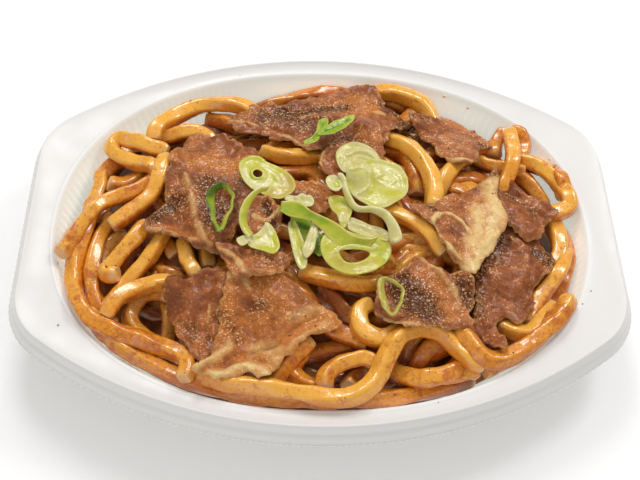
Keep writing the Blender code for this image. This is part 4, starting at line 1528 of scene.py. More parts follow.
@dataclass
class Slice:
    """A thin slice of fried pork."""

    node: str
    outline: Plan
    tan: float = 0.2
    # rim: how strong the painted highlight along the cut edge is.
    rim: float = 0.5
    ragged: float = 1.0
    thickness: float = 1.5
    ripple: float = 1.0
    grit: float = 1.0
    strokes: tuple[Stroke, ...] = ()
    seed: int = 1
    border_step: float = 0.6
    spacing: float = 0.68
    soften_rounds: int = 40
    bed: float = 0.35
    edge_width: float = 1.4
    clearance: float = 0.3
    lift_limit: float = 1.9
    lift_reach: float = 2.6

    def edge(self) -> Array:
        """Run along the outline with its torn wobble.

        Returns:
            The border's points in order.
        """
        border = smooth_route(self.outline, self.border_step, closed=True)
        outward = border - border.mean(axis=0)
        outward /= np.linalg.norm(outward, axis=1)[:, None]
        rough = self.ragged * (0.8 * wander(border, 3.6, self.seed)
                               + 0.55 * wander(border, 1.5, self.seed + 50) - 0.1)
        return border + outward * rough[:, None]

    def relief(self, points: Array, inside: Array) -> Array:
        """Return the slice's own ups and downs: ripples, curled edge and coarse grain.

        Args:
            points: the lattice's points.
            inside: each point's distance from the edge.

        Returns:
            A height for each point.
        """
        ripple = self.ripple * (0.8 * wander(points, 12.0, self.seed + 7)
                                + 0.6 * wander(points, 5.5, self.seed + 8))
        curl = 1.3 * (1.0 - ease(inside, 0.0, 4.5)) * wander(points, 8.0, self.seed + 9)
        fine = self.grit * (0.28 * wander(points, 2.9, self.seed + 10)
                            + 0.20 * wander(points, 1.5, self.seed + 12))
        return ripple + curl + fine

    def build(self, material: Material, frame: dict, noodles: Skin) -> Object:
        """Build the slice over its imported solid.

        Args:
            material: the pork's material.
            frame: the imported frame.
            noodles: the strands it lies on.

        Returns:
            The finished slice.
        """
        cloth = fine_lattice([self.edge()], self.spacing)
        points = cloth.points
        solid = Solid(frame["nodes"][self.node])
        top = relax(solid.top(points), cloth.triangles, self.soften_rounds)
        top = top - self.bed + self.relief(points, cloth.inside)
        marks = {mark: np.zeros(len(points)) for mark in Mark}
        for stroke in self.strokes:
            line = np.array(stroke.route, float)
            if len(line) > 2:
                line = smooth_route(stroke.route, 1.5)
            wobble = min(0.6, 0.25 * stroke.width) * wander(points, 3.0, self.seed + 11)
            gap = distance_to_line(points, line) + wobble
            band = 1.0 - ease(gap, 0.0, 0.75 * stroke.width)
            marks[stroke.mark] = np.maximum(marks[stroke.mark], stroke.amount * band)
            top = top + stroke.rise * band
        short = noodles.heights(points) + self.clearance - top
        lift = np.where(short < self.lift_reach, np.clip(short, 0.0, self.lift_limit), 0.0)
        top = top + np.maximum(lift, 1.3 * relax(lift, cloth.triangles, 8))
        inward = np.clip(cloth.inside / self.edge_width, 0, 1)
        round_edge = np.sqrt(np.clip(1.0 - (1.0 - inward) ** 2, 0, 1))
        thick = self.thickness * (0.12 + 0.88 * round_edge)
        upper = np.column_stack([points, top - 0.5 * (self.thickness - thick)])
        lower = np.column_stack([points, top - self.thickness + 0.5 * (self.thickness - thick)])
        traits = {mark.value: marks[mark] for mark in Mark if mark is not Mark.FOLD}
        traits["tan"] = np.clip(traits["tan"] + self.tan, 0.0, 1.0)
        # Painted highlight along the cut edge.
        traits["rim"] = self.rim * (1.0 - ease(cloth.inside, 0.2, 1.6))
        return close_sheet("slice_" + self.node, upper, lower, cloth.faces(), traits, material,
                           self.node)


def border_walls(faces: list, count: int) -> list[tuple[int, ...]]:
    """Return the quads that close the gap between two faces of a sheet.

    Args:
        faces: the upper face's polygons.
        count: how many points the upper face has.

    Returns:
        One quad for each edge of the border.
    """
    used = set()
    for face in faces:
        used.update(zip(face, face[1:] + face[:1]))
    return [(a + count, b + count, b, a) for a, b in used if (b, a) not in used]


def close_sheet(name: str, upper: Array, lower: Array, faces: list, traits: dict[str, Array],
                material: Material, node: str) -> Object:
    """Close two matching faces into a thin solid that stands for a node.

    Args:
        name: the piece's name.
        upper: the upper face's points.
        lower: the lower face's points.
        faces: the upper face's polygons.
        traits: numbers for each point of one face.
        material: the piece's material.
        node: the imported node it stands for, or nothing.

    Returns:
        The finished piece.
    """
    count = len(upper)
    whole = faces + [tuple(k + count for k in reversed(face)) for face in faces]
    whole += border_walls(faces, count)
    doubled = {key: np.r_[values, values] for key, values in traits.items()}
    made = build_mesh(name, np.vstack([upper, lower]), whole, doubled, material)
    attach(made, "root")
    if node:
        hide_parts(node)
    return made


@dataclass(frozen=True)
class Tint:
    """A stroke of another green on an onion sheet, raised or sunk if wanted."""

    level: float
    width: float
    route: Plan
    rise: float = 0.0
    clear: float = 0.0


@dataclass
class OnionSheet:
    """A thin leaf or disc of onion laid on its solid."""

    name: str
    node: str
    outline: Plan
    green: float
    rim: float
    holes: tuple[Plan, ...] = ()
    tints: tuple[Tint, ...] = ()
    clear: float = 0.0
    lift: float = 0.0
    cup: float = 0.6
    thickness: float = 1.0
    seed: int = 1
    spacing: float = 0.6
    soften_rounds: int = 30
    cup_width: float = 2.5
    wave: float = 0.25

    def build(self, material: Material, frame: dict) -> Object:
        """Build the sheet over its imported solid.

        Args:
            material: the onion's material.
            frame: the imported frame.

        Returns:
            The finished sheet.
        """
        borders = [smooth_route(line, self.spacing, closed=True)
                   for line in (self.outline, *self.holes)]
        cloth = fine_lattice(borders, self.spacing)
        points = cloth.points
        solid = Solid(frame["nodes"][self.node])
        top = relax(solid.top(points), cloth.triangles, self.soften_rounds)
        top = top + self.lift + self.cup * (1.0 - ease(cloth.inside, 0.0, self.cup_width))
        top = top + self.wave * wander(points, 4.0, self.seed) - self.wave
        green = np.full(len(points), self.green) + 0.10 * wander(points, 5.0, self.seed + 3)
        clear = np.full(len(points), self.clear)
        for tint in self.tints:
            line = smooth_route(tint.route, 1.0)
            gap = distance_to_line(points, line) + 0.15 * wander(points, 1.6, self.seed + 4)
            share = 1.0 - ease(gap, 0.12 * tint.width, 0.62 * tint.width)
            green = green + (tint.level - green) * share
            clear = np.maximum(clear, tint.clear * share)
            top = top + tint.rise * share
        edge = 0.75 * (1.0 - ease(cloth.inside, 0.05, 0.7))
        green = green + (self.rim - green) * edge
        thick = self.thickness * (0.35 + 0.65 * ease(cloth.inside, 0.0, 0.8))
        traits = {"green": np.clip(green, 0, 1), "clear": np.clip(clear, 0, 1)}
        return close_sheet("cut_" + self.name, np.column_stack([points, top]),
                           np.column_stack([points, top - thick]), cloth.faces(), traits, material,
                           self.node)


@dataclass
class OnionBand:
    """A ring, curl or blade of onion: a thin wall ruled between two edges."""

    name: str
    node: str
    high: Plan
    low: Plan
    closed: bool = False
    wall: float = 0.9
    bulge: float = 0.3
    rim: float = -0.2
    middle: float = 0.0
    clear: float = 0.0
    rough: float = 0.12
    seed: int = 1
    per_span: int = 7

    def build(self, material: Material, frame: dict) -> Object:
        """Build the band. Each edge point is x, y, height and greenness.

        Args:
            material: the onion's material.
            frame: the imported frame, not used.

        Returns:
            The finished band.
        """
        upper_rail, lower_rail = (rail(edge, self.per_span, self.closed)
                                  for edge in (self.high, self.low))
        shares = np.array([0.0, 0.05, 0.16, 0.32, 0.5, 0.68, 0.84, 0.95, 1.0])
        body = np.array([0.25, 0.75, 1.0, 1.0, 1.0, 1.0, 1.0, 0.75, 0.25])
        grid = (upper_rail[:, None, :] * (1.0 - shares)[None, :, None]
                + lower_rail[:, None, :] * shares[None, :, None])
        spots, green = grid[:, :, :3], grid[:, :, 3]
        if self.closed:
            along = np.roll(spots, -1, axis=0) - np.roll(spots, 1, axis=0)
        else:
            along = np.gradient(spots, axis=0)
        across = np.gradient(spots, axis=1)
        normal = np.cross(along, across)
        normal /= np.linalg.norm(normal, axis=2, keepdims=True) + 1e-9
        flat = spots.reshape(-1, 3)
        noise = wander(flat, 2.6, self.seed).reshape(green.shape)
        spots = spots + normal * (self.bulge * np.sin(math.pi * shares)[None, :]
                                  + self.rough * noise)[:, :, None]
        green = green + self.middle * np.sin(math.pi * shares)[None, :]
        green = green + self.rim * (body < 0.9)[None, :] + 0.06 * noise
        half = 0.5 * self.wall * body[None, :, None]
        if not self.closed:
            ends = np.ones(len(spots))
            ends[[0, -1]] = 0.4
            half = half * ends[:, None, None]
        upper = (spots + normal * half).reshape(-1, 3)
        lower = (spots - normal * half).reshape(-1, 3)
        rows, columns = green.shape
        faces = []
        for k in range(rows if self.closed else rows - 1):
            after = (k + 1) % rows
            for j in range(columns - 1):
                faces.append((k * columns + j, after * columns + j,
                              after * columns + j + 1, k * columns + j + 1))
        traits = {"green": np.clip(green, 0, 1).ravel(), "clear": np.full(green.size, self.clear)}
        return close_sheet("cut_" + self.name, upper, lower, faces, traits, material, self.node)


def fat(width: float, *route: tuple, amount: float = 1.0, rise: float = 0.3) -> Stroke:
    """Return a band of fat."""
    return Stroke(Mark.FAT, width, route, amount, rise)


def crease_shade(width: float, *route: tuple, amount: float = 1.0, rise: float = -0.6) -> Stroke:
    """Return a dark sunk crease, painted shade in a fold or gap."""
    return Stroke(Mark.SEAM, width, route, amount, rise)


def char(width: float, *route: tuple, amount: float = 1.0, rise: float = 0.0) -> Stroke:
    """Return a browned patch."""
    return Stroke(Mark.CHAR, width, route, amount, rise)


def tanned(width: float, *route: tuple, amount: float = 1.0, rise: float = 0.0) -> Stroke:
    """Return an orange-brown patch."""
    return Stroke(Mark.TAN, width, route, amount, rise)


def fold(width: float, rise: float, *route: tuple) -> Stroke:
    """Return a raised fold, or a hollow where the rise is below nought."""
    return Stroke(Mark.FOLD, width, route, 0.0, rise)


SLICES = (
    Slice("meat_far", ((-40, 49), (-34, 56), (-28, 60), (-22, 63), (-18, 61), (-11, 65), (-3, 69),
        (3, 72), (10, 75), (19, 74), (24, 70), (29, 62), (37, 57), (38, 51), (33, 45), (28, 37),
        (24, 32), (18, 37), (8, 35), (2, 31), (-4, 28), (-10, 32), (-17, 36), (-24, 40), (-32, 41)),
        tan=0.0, seed=21, ripple=1.2, grit=1.4, ragged=1.2, strokes=(char(9, (-18, 58), (-8, 57),
        (3, 60), (10, 61), amount=0.9, rise=-1.6), fold(8, 1.6, (-22, 63), (-8, 65), (4, 70),
        (14, 72)), fold(10, 1.8, (-36, 50), (-26, 50), (-16, 46), (-6, 42)), fold(7, -1.4,
        (-28, 57), (-20, 53), (-10, 50), (0, 48)), char(18, (-22, 52), (-10, 49), (4, 44),
        amount=0.85), fat(3, (-9, 53), (-3, 54), amount=0.45, rise=0.6), tanned(13, (11, 63),
        (18, 63), (23, 58), (21, 50), amount=0.6, rise=1.0), char(5, (4, 48), (8, 48), (12, 51),
        rise=-1.5), fat(3.4, (22, 56), (27, 55), amount=0.7, rise=0.5), char(8, (28, 62), (37, 55),
        (34, 44), amount=0.9), fat(2.2, (-39, 49), (-24, 44), (-16, 38), (-6, 31), amount=0.6,
        rise=0.5), crease_shade(1.0, (-30, 47), (-20, 43), (-12, 38), amount=0.5))),
    Slice("meat_far_right", ((38, 55), (48, 56), (57, 52), (66, 49), (71, 44), (73, 39), (68, 37),
        (66, 32), (62, 26), (54, 27), (48, 31), (46, 38), (41, 45)), tan=0.1, seed=22, grit=0.8,
        strokes=(fat(5, (51, 42), (58, 37), (64, 32), amount=0.35, rise=0.5), fat(2.5, (47, 31),
        (54, 28), (62, 27), amount=0.8), fold(7, 1.2, (42, 50), (52, 44), (64, 38)), fold(5, -1.0,
        (44, 54), (56, 50), (68, 45)), char(4, (66, 39), (73, 38), amount=0.9), char(5, (40, 54),
        (46, 52), amount=0.7))),
    Slice("meat_right_low", ((74, 1), (84, -1), (88, -7), (92, -15), (89, -23), (82, -30),
        (80, -38), (77, -45), (73, -46), (70, -43), (66, -45), (67, -51), (67, -59), (62, -55),
        (56, -48), (58, -43), (57, -35), (60, -26), (65, -16), (70, -6)), tan=0.05, seed=23,
        ragged=1.3, strokes=(char(12, (71, -8), (66, -17), (60, -25), amount=0.8, rise=-1.0),
        fold(7, 1.7, (65, -24), (72, -27), (71, -42)), fold(8, 1.4, (78, -6), (80, -16), (76, -30)),
        fold(5, -1.3, (84, -12), (83, -22), (77, -34)), char(7, (85, -13), (91, -15), (88, -20),
        amount=0.9), fold(5, 1.2, (60, -38), (63, -46), (66, -56)), char(8, (60, -32), (60, -42),
        amount=0.6))),
    Slice("meat_right_high", ((73, 26), (79, 23), (84, 17), (89, 12), (95, 8), (96, 3), (91, -1),
        (88, -7), (82, -9), (76, -5), (72, 3), (71, 13), (70, 20)), tan=0.1, seed=24, ragged=1.3,
        strokes=(fold(5, 1.6, (75, 24), (82, 17), (92, 8)), fold(4, -1.4, (74, 18), (80, 11),
        (88, 3)), fold(5, 1.0, (76, 8), (80, 0), (86, -5)), char(4, (74, 18), (80, 11), (86, 5),
        amount=0.6))),
    Slice("meat_left", ((-53, 45), (-46, 42), (-37, 37), (-27, 29), (-25, 19), (-28, 7), (-33, -7),
        (-38, -19), (-46, -19), (-55, -14), (-62, -11), (-70, -10), (-69, -3), (-63, 5), (-63, 14),
        (-62, 24), (-59, 34)), tan=0.05, seed=25, ripple=0.9, grit=0.8, strokes=(tanned(18,
        (-58, 26), (-48, 25), (-36, 22), amount=0.5), fat(4.0, (-55, 16), (-52, 4), (-50, -5),
        (-46, -15), amount=0.55, rise=1.2), fold(9, 1.0, (-55, 16), (-52, 4), (-49, -6),
        (-45, -16)), fold(8, -1.4, (-63, 8), (-60, 0), (-55, -6)), char(12, (-67, -3), (-62, 2),
        (-57, 5), amount=0.9), char(15, (-46, 12), (-42, -4), amount=0.85, rise=-0.6), char(10,
        (-34, 12), (-36, 0), amount=0.6), tanned(8, (-60, -8), (-52, -12), (-44, -14), amount=0.6),
        fat(2.6, (-68, -9), (-59, -10), (-51, -14), (-43, -17), amount=0.55, rise=0.7))),
    Slice("meat_middle", ((-14, 12), (-5, 13), (3, 9), (4, 1), (-3, -3), (-12, -3), (-18, 1),
        (-17, 7)), tan=0.6, seed=26, strokes=(char(6, (-12, 6), (-4, 5), amount=0.6),)),
    Slice("meat_middle_small", ((-32, 1), (-24, 3), (-17, -1), (-16, -9), (-20, -15), (-28, -15),
        (-33, -9)), tan=0.3, seed=27, strokes=(fat(2.2, (-27, -6), (-22, -7), (-17, -3)), char(6,
        (-22, -2), (-20, -8)))),
    Slice("meat_back", ((1, 29), (6, 35), (11, 39), (14, 44), (18, 46), (23, 43), (25, 35),
        (26, 27), (24, 19), (16, 13), (6, 13), (0, 17), (-2, 23)), tan=0.25, seed=28, grit=1.2,
        strokes=(fold(7, 2.0, (17, 42), (20, 36), (23, 28), (24, 22)), fold(4, -1.2, (12, 38),
        (15, 32), (18, 26)), fat(2.5, (-1, 22), (0, 28), amount=0.8, rise=0.6), char(9, (4, 32),
        (10, 36), (12, 30), amount=0.8))),
    Slice("meat_fatty", ((72, 26), (67, 19), (59, 13), (50, 8), (43, 1), (34, 0), (37, -5),
        (43, -10), (45, -17), (51, -24), (57, -28), (61, -23), (66, -16), (72, -6), (74, 3),
        (71, 11), (73, 19)), tan=0.25, seed=29, ripple=0.5, grit=0.5, ragged=0.7, strokes=(fat(13,
        (70, 14), (70, 1), (65, -13), (57, -25), rise=0.6), fat(9, (62, 3), (62, -6), (58, -14),
        amount=0.9), fat(2.4, (52, -22), (46, -16), (42.5, -10), (44, -5), (49, -2.5), (55, -4.5),
        (58, -10), rise=0.8), char(7, (49, -8), (53, -12), amount=0.35, rise=-0.6), tanned(5,
        (66, 4), (67, -4), amount=0.9), char(6, (70, 22), (72, 17), amount=0.9, rise=0.8), char(5,
        (35, 3), (44, -2), amount=0.7), fold(3, -0.7, (52, 6), (60, 4), (66, 12)))),
    Slice("meat_round", ((20, -31), (27, -29), (33, -24), (36, -20), (41, -23), (47, -27),
        (53, -27), (57, -31), (58, -38), (55, -44), (55, -50), (47, -52), (38, -52), (29, -52),
        (22, -49), (18, -44), (20, -38)), tan=0.15, seed=30, ripple=0.9, grit=1.5, strokes=(fat(4,
        (37, -20), (42, -25), (46, -30), (50, -35), (50, -43), amount=0.6, rise=1.1), tanned(9,
        (40, -26), (46, -34), (46, -46), amount=0.35), char(18, (30, -35), (38, -44)), char(9,
        (52, -32), (56, -40), amount=0.8, rise=-0.6), fat(3, (44, -25), (52, -28), amount=0.6),
        fold(7, 1.2, (26, -34), (34, -32), (40, -38)), fat(2.4, (20, -47), (26, -51), (34, -52),
        amount=0.6))),
    Slice("meat_near_lobe", ((-60, -32), (-53, -31), (-47, -28), (-41, -26), (-36, -28), (-34, -34),
        (-34, -46), (-38, -58), (-43, -65), (-48, -61), (-52, -56), (-56, -49), (-59, -41)),
        tan=0.3, rim=0.3, seed=31, grit=0.7, ripple=0.7, strokes=(fold(9, 1.4, (-54, -34),
        (-51, -40), (-50, -45)), fold(9, -1.7, (-50, -51), (-44, -53)), fold(6, 1.3, (-38, -29),
        (-40, -38), (-43, -44)), char(10, (-49, -51), (-44, -53), amount=0.45), fat(1.6, (-43, -41),
        (-43.5, -47), amount=0.7, rise=0.5), fold(6, 1.2, (-53, -56), (-49, -62)), fat(2,
        (-54, -57), (-51, -60), amount=0.5))),
    Slice("meat_near", ((-36, -29), (-30, -30), (-22, -28), (-15, -30), (-8, -36), (-1, -41),
        (7, -47), (3, -51), (-4, -54), (-11, -59), (-17, -66), (-21, -72), (-28, -69), (-35, -71),
        (-43, -71), (-48, -68), (-42, -63), (-40, -53), (-39, -43), (-38, -35)), tan=0.55, rim=0.7,
        seed=32, ripple=0.8, strokes=(tanned(10, (6, -44), (-3, -51), (-12, -57), (-18, -62)),
        fat(7, (-12, -47), (-4, -44), (4, -43), amount=0.5, rise=0.5), fat(4, (2, -48), (-7, -54),
        (-14, -60), amount=0.6, rise=0.7), crease_shade(1.6, (2, -41), (-4, -47), (-12, -52), (-17, -57),
        (-27, -60), amount=0.55, rise=-0.9), crease_shade(1.4, (-39, -42), (-40, -50), amount=0.6,
        rise=-0.8), fat(4, (-36, -31), (-31, -31), (-28, -36), amount=0.6, rise=0.8), fold(6, 1.1,
        (-35, -38), (-34, -46), (-36, -54)), fold(7, -1.0, (-28, -40), (-27, -50)), char(8,
        (-28, -41), (-23, -42), amount=0.6), char(8, (-37, -47), (-32, -54), amount=0.5), fold(9,
        1.0, (-18, -36), (-14, -46), (-20, -52)), fat(5, (-35, -58), (-40, -63), (-46, -68),
        amount=0.8, rise=1.3), fold(3, -1.2, (-33, -61), (-38, -67)), fat(9, (-25, -58), (-17, -60),
        (-18, -66), amount=0.6), tanned(5, (-30, -63), (-25, -63), amount=0.9, rise=-0.6), fat(6,
        (-41, -71), (-35, -69), (-29, -66), (-22, -69), (-20, -72), rise=1.8), crease_shade(1.0, (-34, -65),
        (-28, -62.5), (-22, -64), amount=0.5))),
    Slice("meat_neck", ((-42, -18), (-35, -18), (-28, -21), (-19, -21), (-14, -25), (-17, -31),
        (-26, -33), (-34, -32), (-37, -26)), tan=0.4, seed=33, grit=1.6, strokes=(fat(3, (-40, -20),
        (-34, -24), (-30, -31), amount=0.7, rise=0.8), char(7, (-24, -23), (-18, -27), amount=0.6,
        rise=-0.6), fat(3, (-28, -30), (-20, -31), amount=0.4, rise=0.5))),
)

ONIONS = (
    OnionSheet("wedge", "onion_wedge", ((-33.8, 18), (-33, 21.6), (-29.6, 24), (-25.4, 23.6),
        (-22.3, 20.7), (-17.9, 18.1), (-13.5, 14.1), (-11.1, 9.6), (-11.8, 5.1), (-16.4, 1.8),
        (-21, 2.4), (-24.6, 4.8), (-28.6, 7.2), (-31.9, 11.8)), 0.30, 0.40, seed=41,
        holes=(((-27.9, 15.6), (-26.2, 16.5), (-24.4, 15.2), (-24.5, 13.2), (-26.3, 12.5),
        (-27.8, 13.9)),), tints=(Tint(0.3, 9.0, ((-14, 12), (-13.8, 6.7), (-19.7, 4.2)), clear=0.9),
        Tint(0.3, 5.0, ((-23.7, 5.8), (-19.7, 4.2)), clear=0.6), Tint(0.04, 4.0, ((-31.2, 16.4),
        (-31.1, 12.3), (-27.7, 9), (-23.1, 9.1))), Tint(0.05, 1.6, ((-25, 20), (-20, 15),
        (-17, 10)), rise=0.2), Tint(0.62, 1.2, ((-28.2, 17.3), (-29.2, 14.8), (-27.8, 11.9),
        (-24.8, 11.9)), rise=-0.3))),
    OnionSheet("heart", "onion_heart", ((-29.1, -13.5), (-26.9, -15.4), (-23.9, -12), (-22, -9.5),
        (-19.4, -11.9), (-17.5, -16.9), (-16.9, -21), (-19.3, -24), (-23.7, -22.6), (-27.8, -21),
        (-29.3, -18.9)), 0.06, 0.20, seed=42, tints=(Tint(0.42, 7.0, ((-17.8, -16), (-18.6, -21.8),
        (-24, -22.4))), Tint(0.02, 1.5, ((-22.5, -10), (-20.5, -15)), rise=0.5), Tint(0.5, 0.8,
        ((-26, -16.6), (-23.8, -15.8)), rise=-0.4))),
    OnionSheet("stub", "onion_heart", ((-33.3, -18), (-29, -16.2), (-28.1, -18.7), (-31.2, -21)),
        0.0, 0.0, lift=1.0, seed=54, tints=(Tint(0.2, 0.7, ((-32, -17.6), (-30.4, -20)), rise=-0.3),
        Tint(0.2, 0.7, ((-30, -17), (-29, -19.2)), rise=-0.3))),
    OnionSheet("disc_back", "onion_disc_back", ((5.2, 23.7), (7.7, 28), (12.5, 30.7), (18.6, 29.1),
        (22.8, 23.9), (23.6, 18.9), (19.5, 16.3), (14.7, 15), (8.7, 14.9), (6, 18.6)), 0.12, 0.06,
        clear=0.45, seed=43, tints=(Tint(0.02, 1.6, ((10, 23.8), (13.1, 26.4), (18.5, 25.6),
        (22.4, 21.4)), rise=0.5), Tint(0.0, 1.2, ((10.9, 21.2), (14.4, 23.8), (19, 22.6)),
        rise=0.4), Tint(0.3, 0.9, ((10.5, 22.4), (14, 25), (19, 24.1)), rise=-0.3), Tint(0.05, 1.4,
        ((8.8, 18.7), (12.1, 16.2), (16.2, 17.9)), rise=0.3))),
    OnionSheet("disc_front", "onion_disc_front", ((9.6, 8.3), (9.4, 15.3), (14.5, 17.5), (17.6, 20),
        (23.7, 21.1), (30, 20.3), (33.6, 16), (34, 9), (31, 3.4), (25.3, -1.4), (20.1, -1.7),
        (15, 1.9), (11.5, 5)), 0.26, 0.16, clear=0.12, seed=44, tints=(Tint(0.20, 9.0,
        ((12.5, 13.5), (15, 11), (14.5, 7.5)), rise=0.5), Tint(0.10, 1.0, ((11, 15), (17, 15.6),
        (18.2, 9), (14, 5.6)), rise=0.5), Tint(0.08, 0.9, ((20.7, 12.5), (25.5, 15.1), (28.7, 12.6),
        (25.2, 10.1), (21.3, 11.3)), rise=0.25), Tint(0.12, 0.8, ((18.5, 16), (25, 18.2),
        (31, 14.6), (31.4, 9)), rise=0.2), Tint(0.40, 3.0, ((17.8, 6.6), (23.1, 5), (29.8, 7.3)),
        clear=0.35))),
    OnionSheet("fold", "onion_fold", ((-13.8, -9.1), (-11.1, -7.1), (-8.5, -14.1), (-6.7, -20.2),
        (-6.6, -26.8), (-8.6, -28.4), (-10.2, -26.5), (-11.9, -21)), 0.2, 0.05, lift=0.6, seed=45,
        tints=(Tint(0.4, 2.5, ((-11.5, -10), (-9.5, -18), (-8.6, -24)), clear=0.3),)),
    OnionSheet("strip", "onion_fold", ((-4.4, -8.5), (-2, -9.8), (-2.9, -16), (-4, -21.3),
        (-6.8, -24.3), (-8.4, -21), (-6.8, -16), (-5.3, -11.4)), 0.03, 0.02, lift=3.0, seed=55,
        cup=-0.6, tints=(Tint(0.25, 0.9, ((-3.4, -10), (-4.4, -16), (-6, -22)), rise=-0.4),)),
    OnionSheet("leaf_inside", "onion_blade", ((-12.5, -5.4), (-4.7, -7.2), (-4.6, -13.1),
        (-6.6, -18.4), (-9.6, -16.9), (-11.6, -11.9)), 0.66, 0.6, lift=-2.6, seed=56,
        tints=(Tint(0.95, 3.0, ((-10, -8), (-6, -9.5))),)),
    OnionSheet("leaf_olive", "onion_blade", ((-2.4, -10.7), (1.2, -14.2), (0.4, -19.1),
        (-1.8, -21.5), (-3.9, -18.1)), 0.78, 0.7, lift=-2.4, seed=57),
    OnionSheet("pale_body", "onion_curl", ((9.9, -6.6), (17.3, -8.4), (23.1, -9.5), (26.2, -13.3),
        (24.4, -16.4), (19.7, -15.2), (14.6, -13.9), (9.2, -11.6)), 0.06, 0.02, clear=0.3,
        lift=-2.6, seed=58, tints=(Tint(0.0, 0.9, ((11, -8.6), (17, -10.2), (23, -11.2)), rise=0.4),
        Tint(0.2, 0.9, ((11, -10.4), (17, -12), (22.5, -13.4)), rise=-0.3))),
    OnionSheet("clear_tube", "onion_ring_small", ((1.9, 2.1), (5.2, 3.4), (9.7, 1.4), (11.2, -2.5),
        (10.1, -7.3), (8.1, -12), (6.1, -10.4), (5, -5.8), (2.8, -3)), 0.42, 0.2, clear=0.45,
        lift=-1.2, seed=59, tints=(Tint(0.0, 3.0, ((7.5, -4.6), (7.6, -8.7)), rise=0.6), Tint(0.7,
        1.2, ((4.2, 0.6), (8, 0.2), (9.6, -3))))),
    OnionSheet("frill", "onion_blade", ((-15.2, -0.6), (-13.8, 1.3), (-11, 1.6), (-8.6, 3.8),
        (-6.6, 2.6), (-5.3, 3), (-3.7, 0.4), (-4.7, -2.2), (-8.6, -2.4), (-12.1, -2.1)), 0.02, 0.0,
        lift=0.3, seed=60, tints=(Tint(0.3, 0.8, ((-11.5, 0.6), (-10.5, -2)), rise=-0.5), Tint(0.3,
        0.8, ((-8.8, 2.2), (-7.6, -2)), rise=-0.5))),
    OnionSheet("ring_small", "onion_ring_small", ((0.8, 8.6), (2, 11.1), (4.7, 11.5), (7.1, 9.1),
        (7.5, 6.3), (5.2, 3.8), (2.3, 5)), 0.04, 0.1, lift=1.4, seed=48, tints=(Tint(0.6, 3.4,
        ((4.9, 7.8), (5.3, 7))), Tint(0.2, 1.0, ((4.9, 7.6), (5.2, 7.1))))),
    OnionSheet("loop", "onion_loop", ((-0.2, -15.3), (-1.4, -21.4), (1.5, -27.5), (7.7, -30.8),
        (14, -31.2), (20.4, -28.8), (25.1, -23), (25.6, -17.4), (21.7, -14), (17.7, -15.2),
        (11.7, -14.1), (5, -12.2)), 0.42, 0.22, seed=49, cup=0.2, holes=(((5.9, -21.9),
        (11.2, -21.3), (17.2, -21.8), (15.2, -25), (9.7, -26.2), (6.9, -25.1)),), tints=(Tint(0.34,
        5.0, ((19.8, -25), (14.1, -28.4), (7.8, -28.2), (2.9, -24.1)), clear=0.6), Tint(0.05, 0.9,
        ((4.4, -22.4), (7.2, -20.4), (12, -19.6), (18.4, -20.2), (19.6, -19)), rise=0.5), Tint(0.52,
        3.0, ((4, -17), (12, -16.6), (19, -17))))),
    OnionSheet("sprig_left", "onion_sprig", ((-1.5, 42.1), (2.3, 43.8), (1.8, 37.9), (-0.3, 33.6),
        (-2.4, 27.4), (-6.9, 25.8), (-7.7, 27.8), (-4.4, 29.9), (-2.4, 35.2)), 0.62, 0.42, seed=53,
        cup=0.8, tints=(Tint(0.85, 1.4, ((0.4, 41), (-1, 35), (-4, 29))),)),
    OnionSheet("sprig_right", "onion_sprig", ((-2, 30.5), (2.9, 31.1), (7.8, 34.8), (12.9, 40.7),
        (12.6, 43.4), (7.1, 40.6), (3, 37.4), (-0.7, 33.6)), 0.66, 0.45, seed=61, cup=0.8,
        tints=(Tint(0.9, 1.4, ((0.4, 33), (6, 37), (11, 41))),)),
    OnionBand("ring_dark", "onion_ring_dark", ((-40.6, 7.4, 50, 0.95), (-44, 5.1, 50, 1),
        (-45.5, 1.3, 49.6, 1), (-44.9, -3.2, 49.3, 0.8), (-43.4, -8.4, 49, 0.6),
        (-42.3, -12.7, 48.5, 0.6), (-40.6, -14.8, 48, 0.75), (-38.8, -13.1, 48, 0.6),
        (-37.1, -7.9, 48.3, 0.35), (-35.3, -3.7, 49, 0.3), (-35, 0.7, 49.5, 0.3),
        (-36.4, 4.2, 50, 0.5), (-38.4, 6.6, 50, 0.85)), ((-40.1, 6.3, 47, 0.8),
        (-42.1, 4.7, 46.6, 0.85), (-42.8, 1.7, 46.4, 0.6), (-42.3, -2, 46, 0.4),
        (-41.6, -6.1, 45.6, 0.35), (-40.9, -8.9, 45, 0.4), (-40.2, -10.2, 45, 0.5),
        (-39.6, -9.4, 45, 0.45), (-38.1, -5.7, 45.6, 0.25), (-36.3, -1.7, 46.4, 0.2),
        (-35.9, 2.1, 47, 0.2), (-37.1, 4.5, 47.4, 0.3), (-38.7, 5.9, 47.4, 0.5)), closed=True,
        wall=0.6, rough=0.45, rim=0.3, middle=0.1, clear=0.3, seed=47),
    OnionBand("half_ring", "onion_half_ring", ((-21.3, 4.3, 52, 0.3), (-24.8, 2.9, 53, 0.35),
        (-28.5, -0.3, 53, 0.4), (-31.3, -4.5, 52.5, 0.45), (-32.5, -9.7, 51.5, 0.45),
        (-31.6, -14.4, 50, 0.4), (-28.5, -18, 48.6, 0.3)), ((-22.2, 3.3, 50, 0.35),
        (-24.7, 2.1, 50.5, 0.4), (-27.2, -1.1, 50.5, 0.45), (-28.8, -5.1, 50, 0.5),
        (-29.5, -9.1, 49, 0.5), (-29.1, -12.2, 48, 0.4), (-27, -15, 47, 0.25)), seed=51, rim=-0.25),
    OnionBand("blade", "onion_blade", ((-16.4, -1.6, 50, 0.35), (-9.9, -1.9, 50.5, 0.5),
        (-4.8, -6.2, 50.3, 0.5), (-0.6, -8.3, 50, 0.5), (4.8, -11.2, 49.5, 0.48),
        (11.4, -16.3, 49, 0.45), (17.5, -17.1, 48, 0.45), (21.3, -15.3, 47, 0.45)),
        ((-17.1, -5.4, 49, 0.7), (-12.8, -7.8, 48.5, 0.65), (-5.4, -9.1, 48, 0.55),
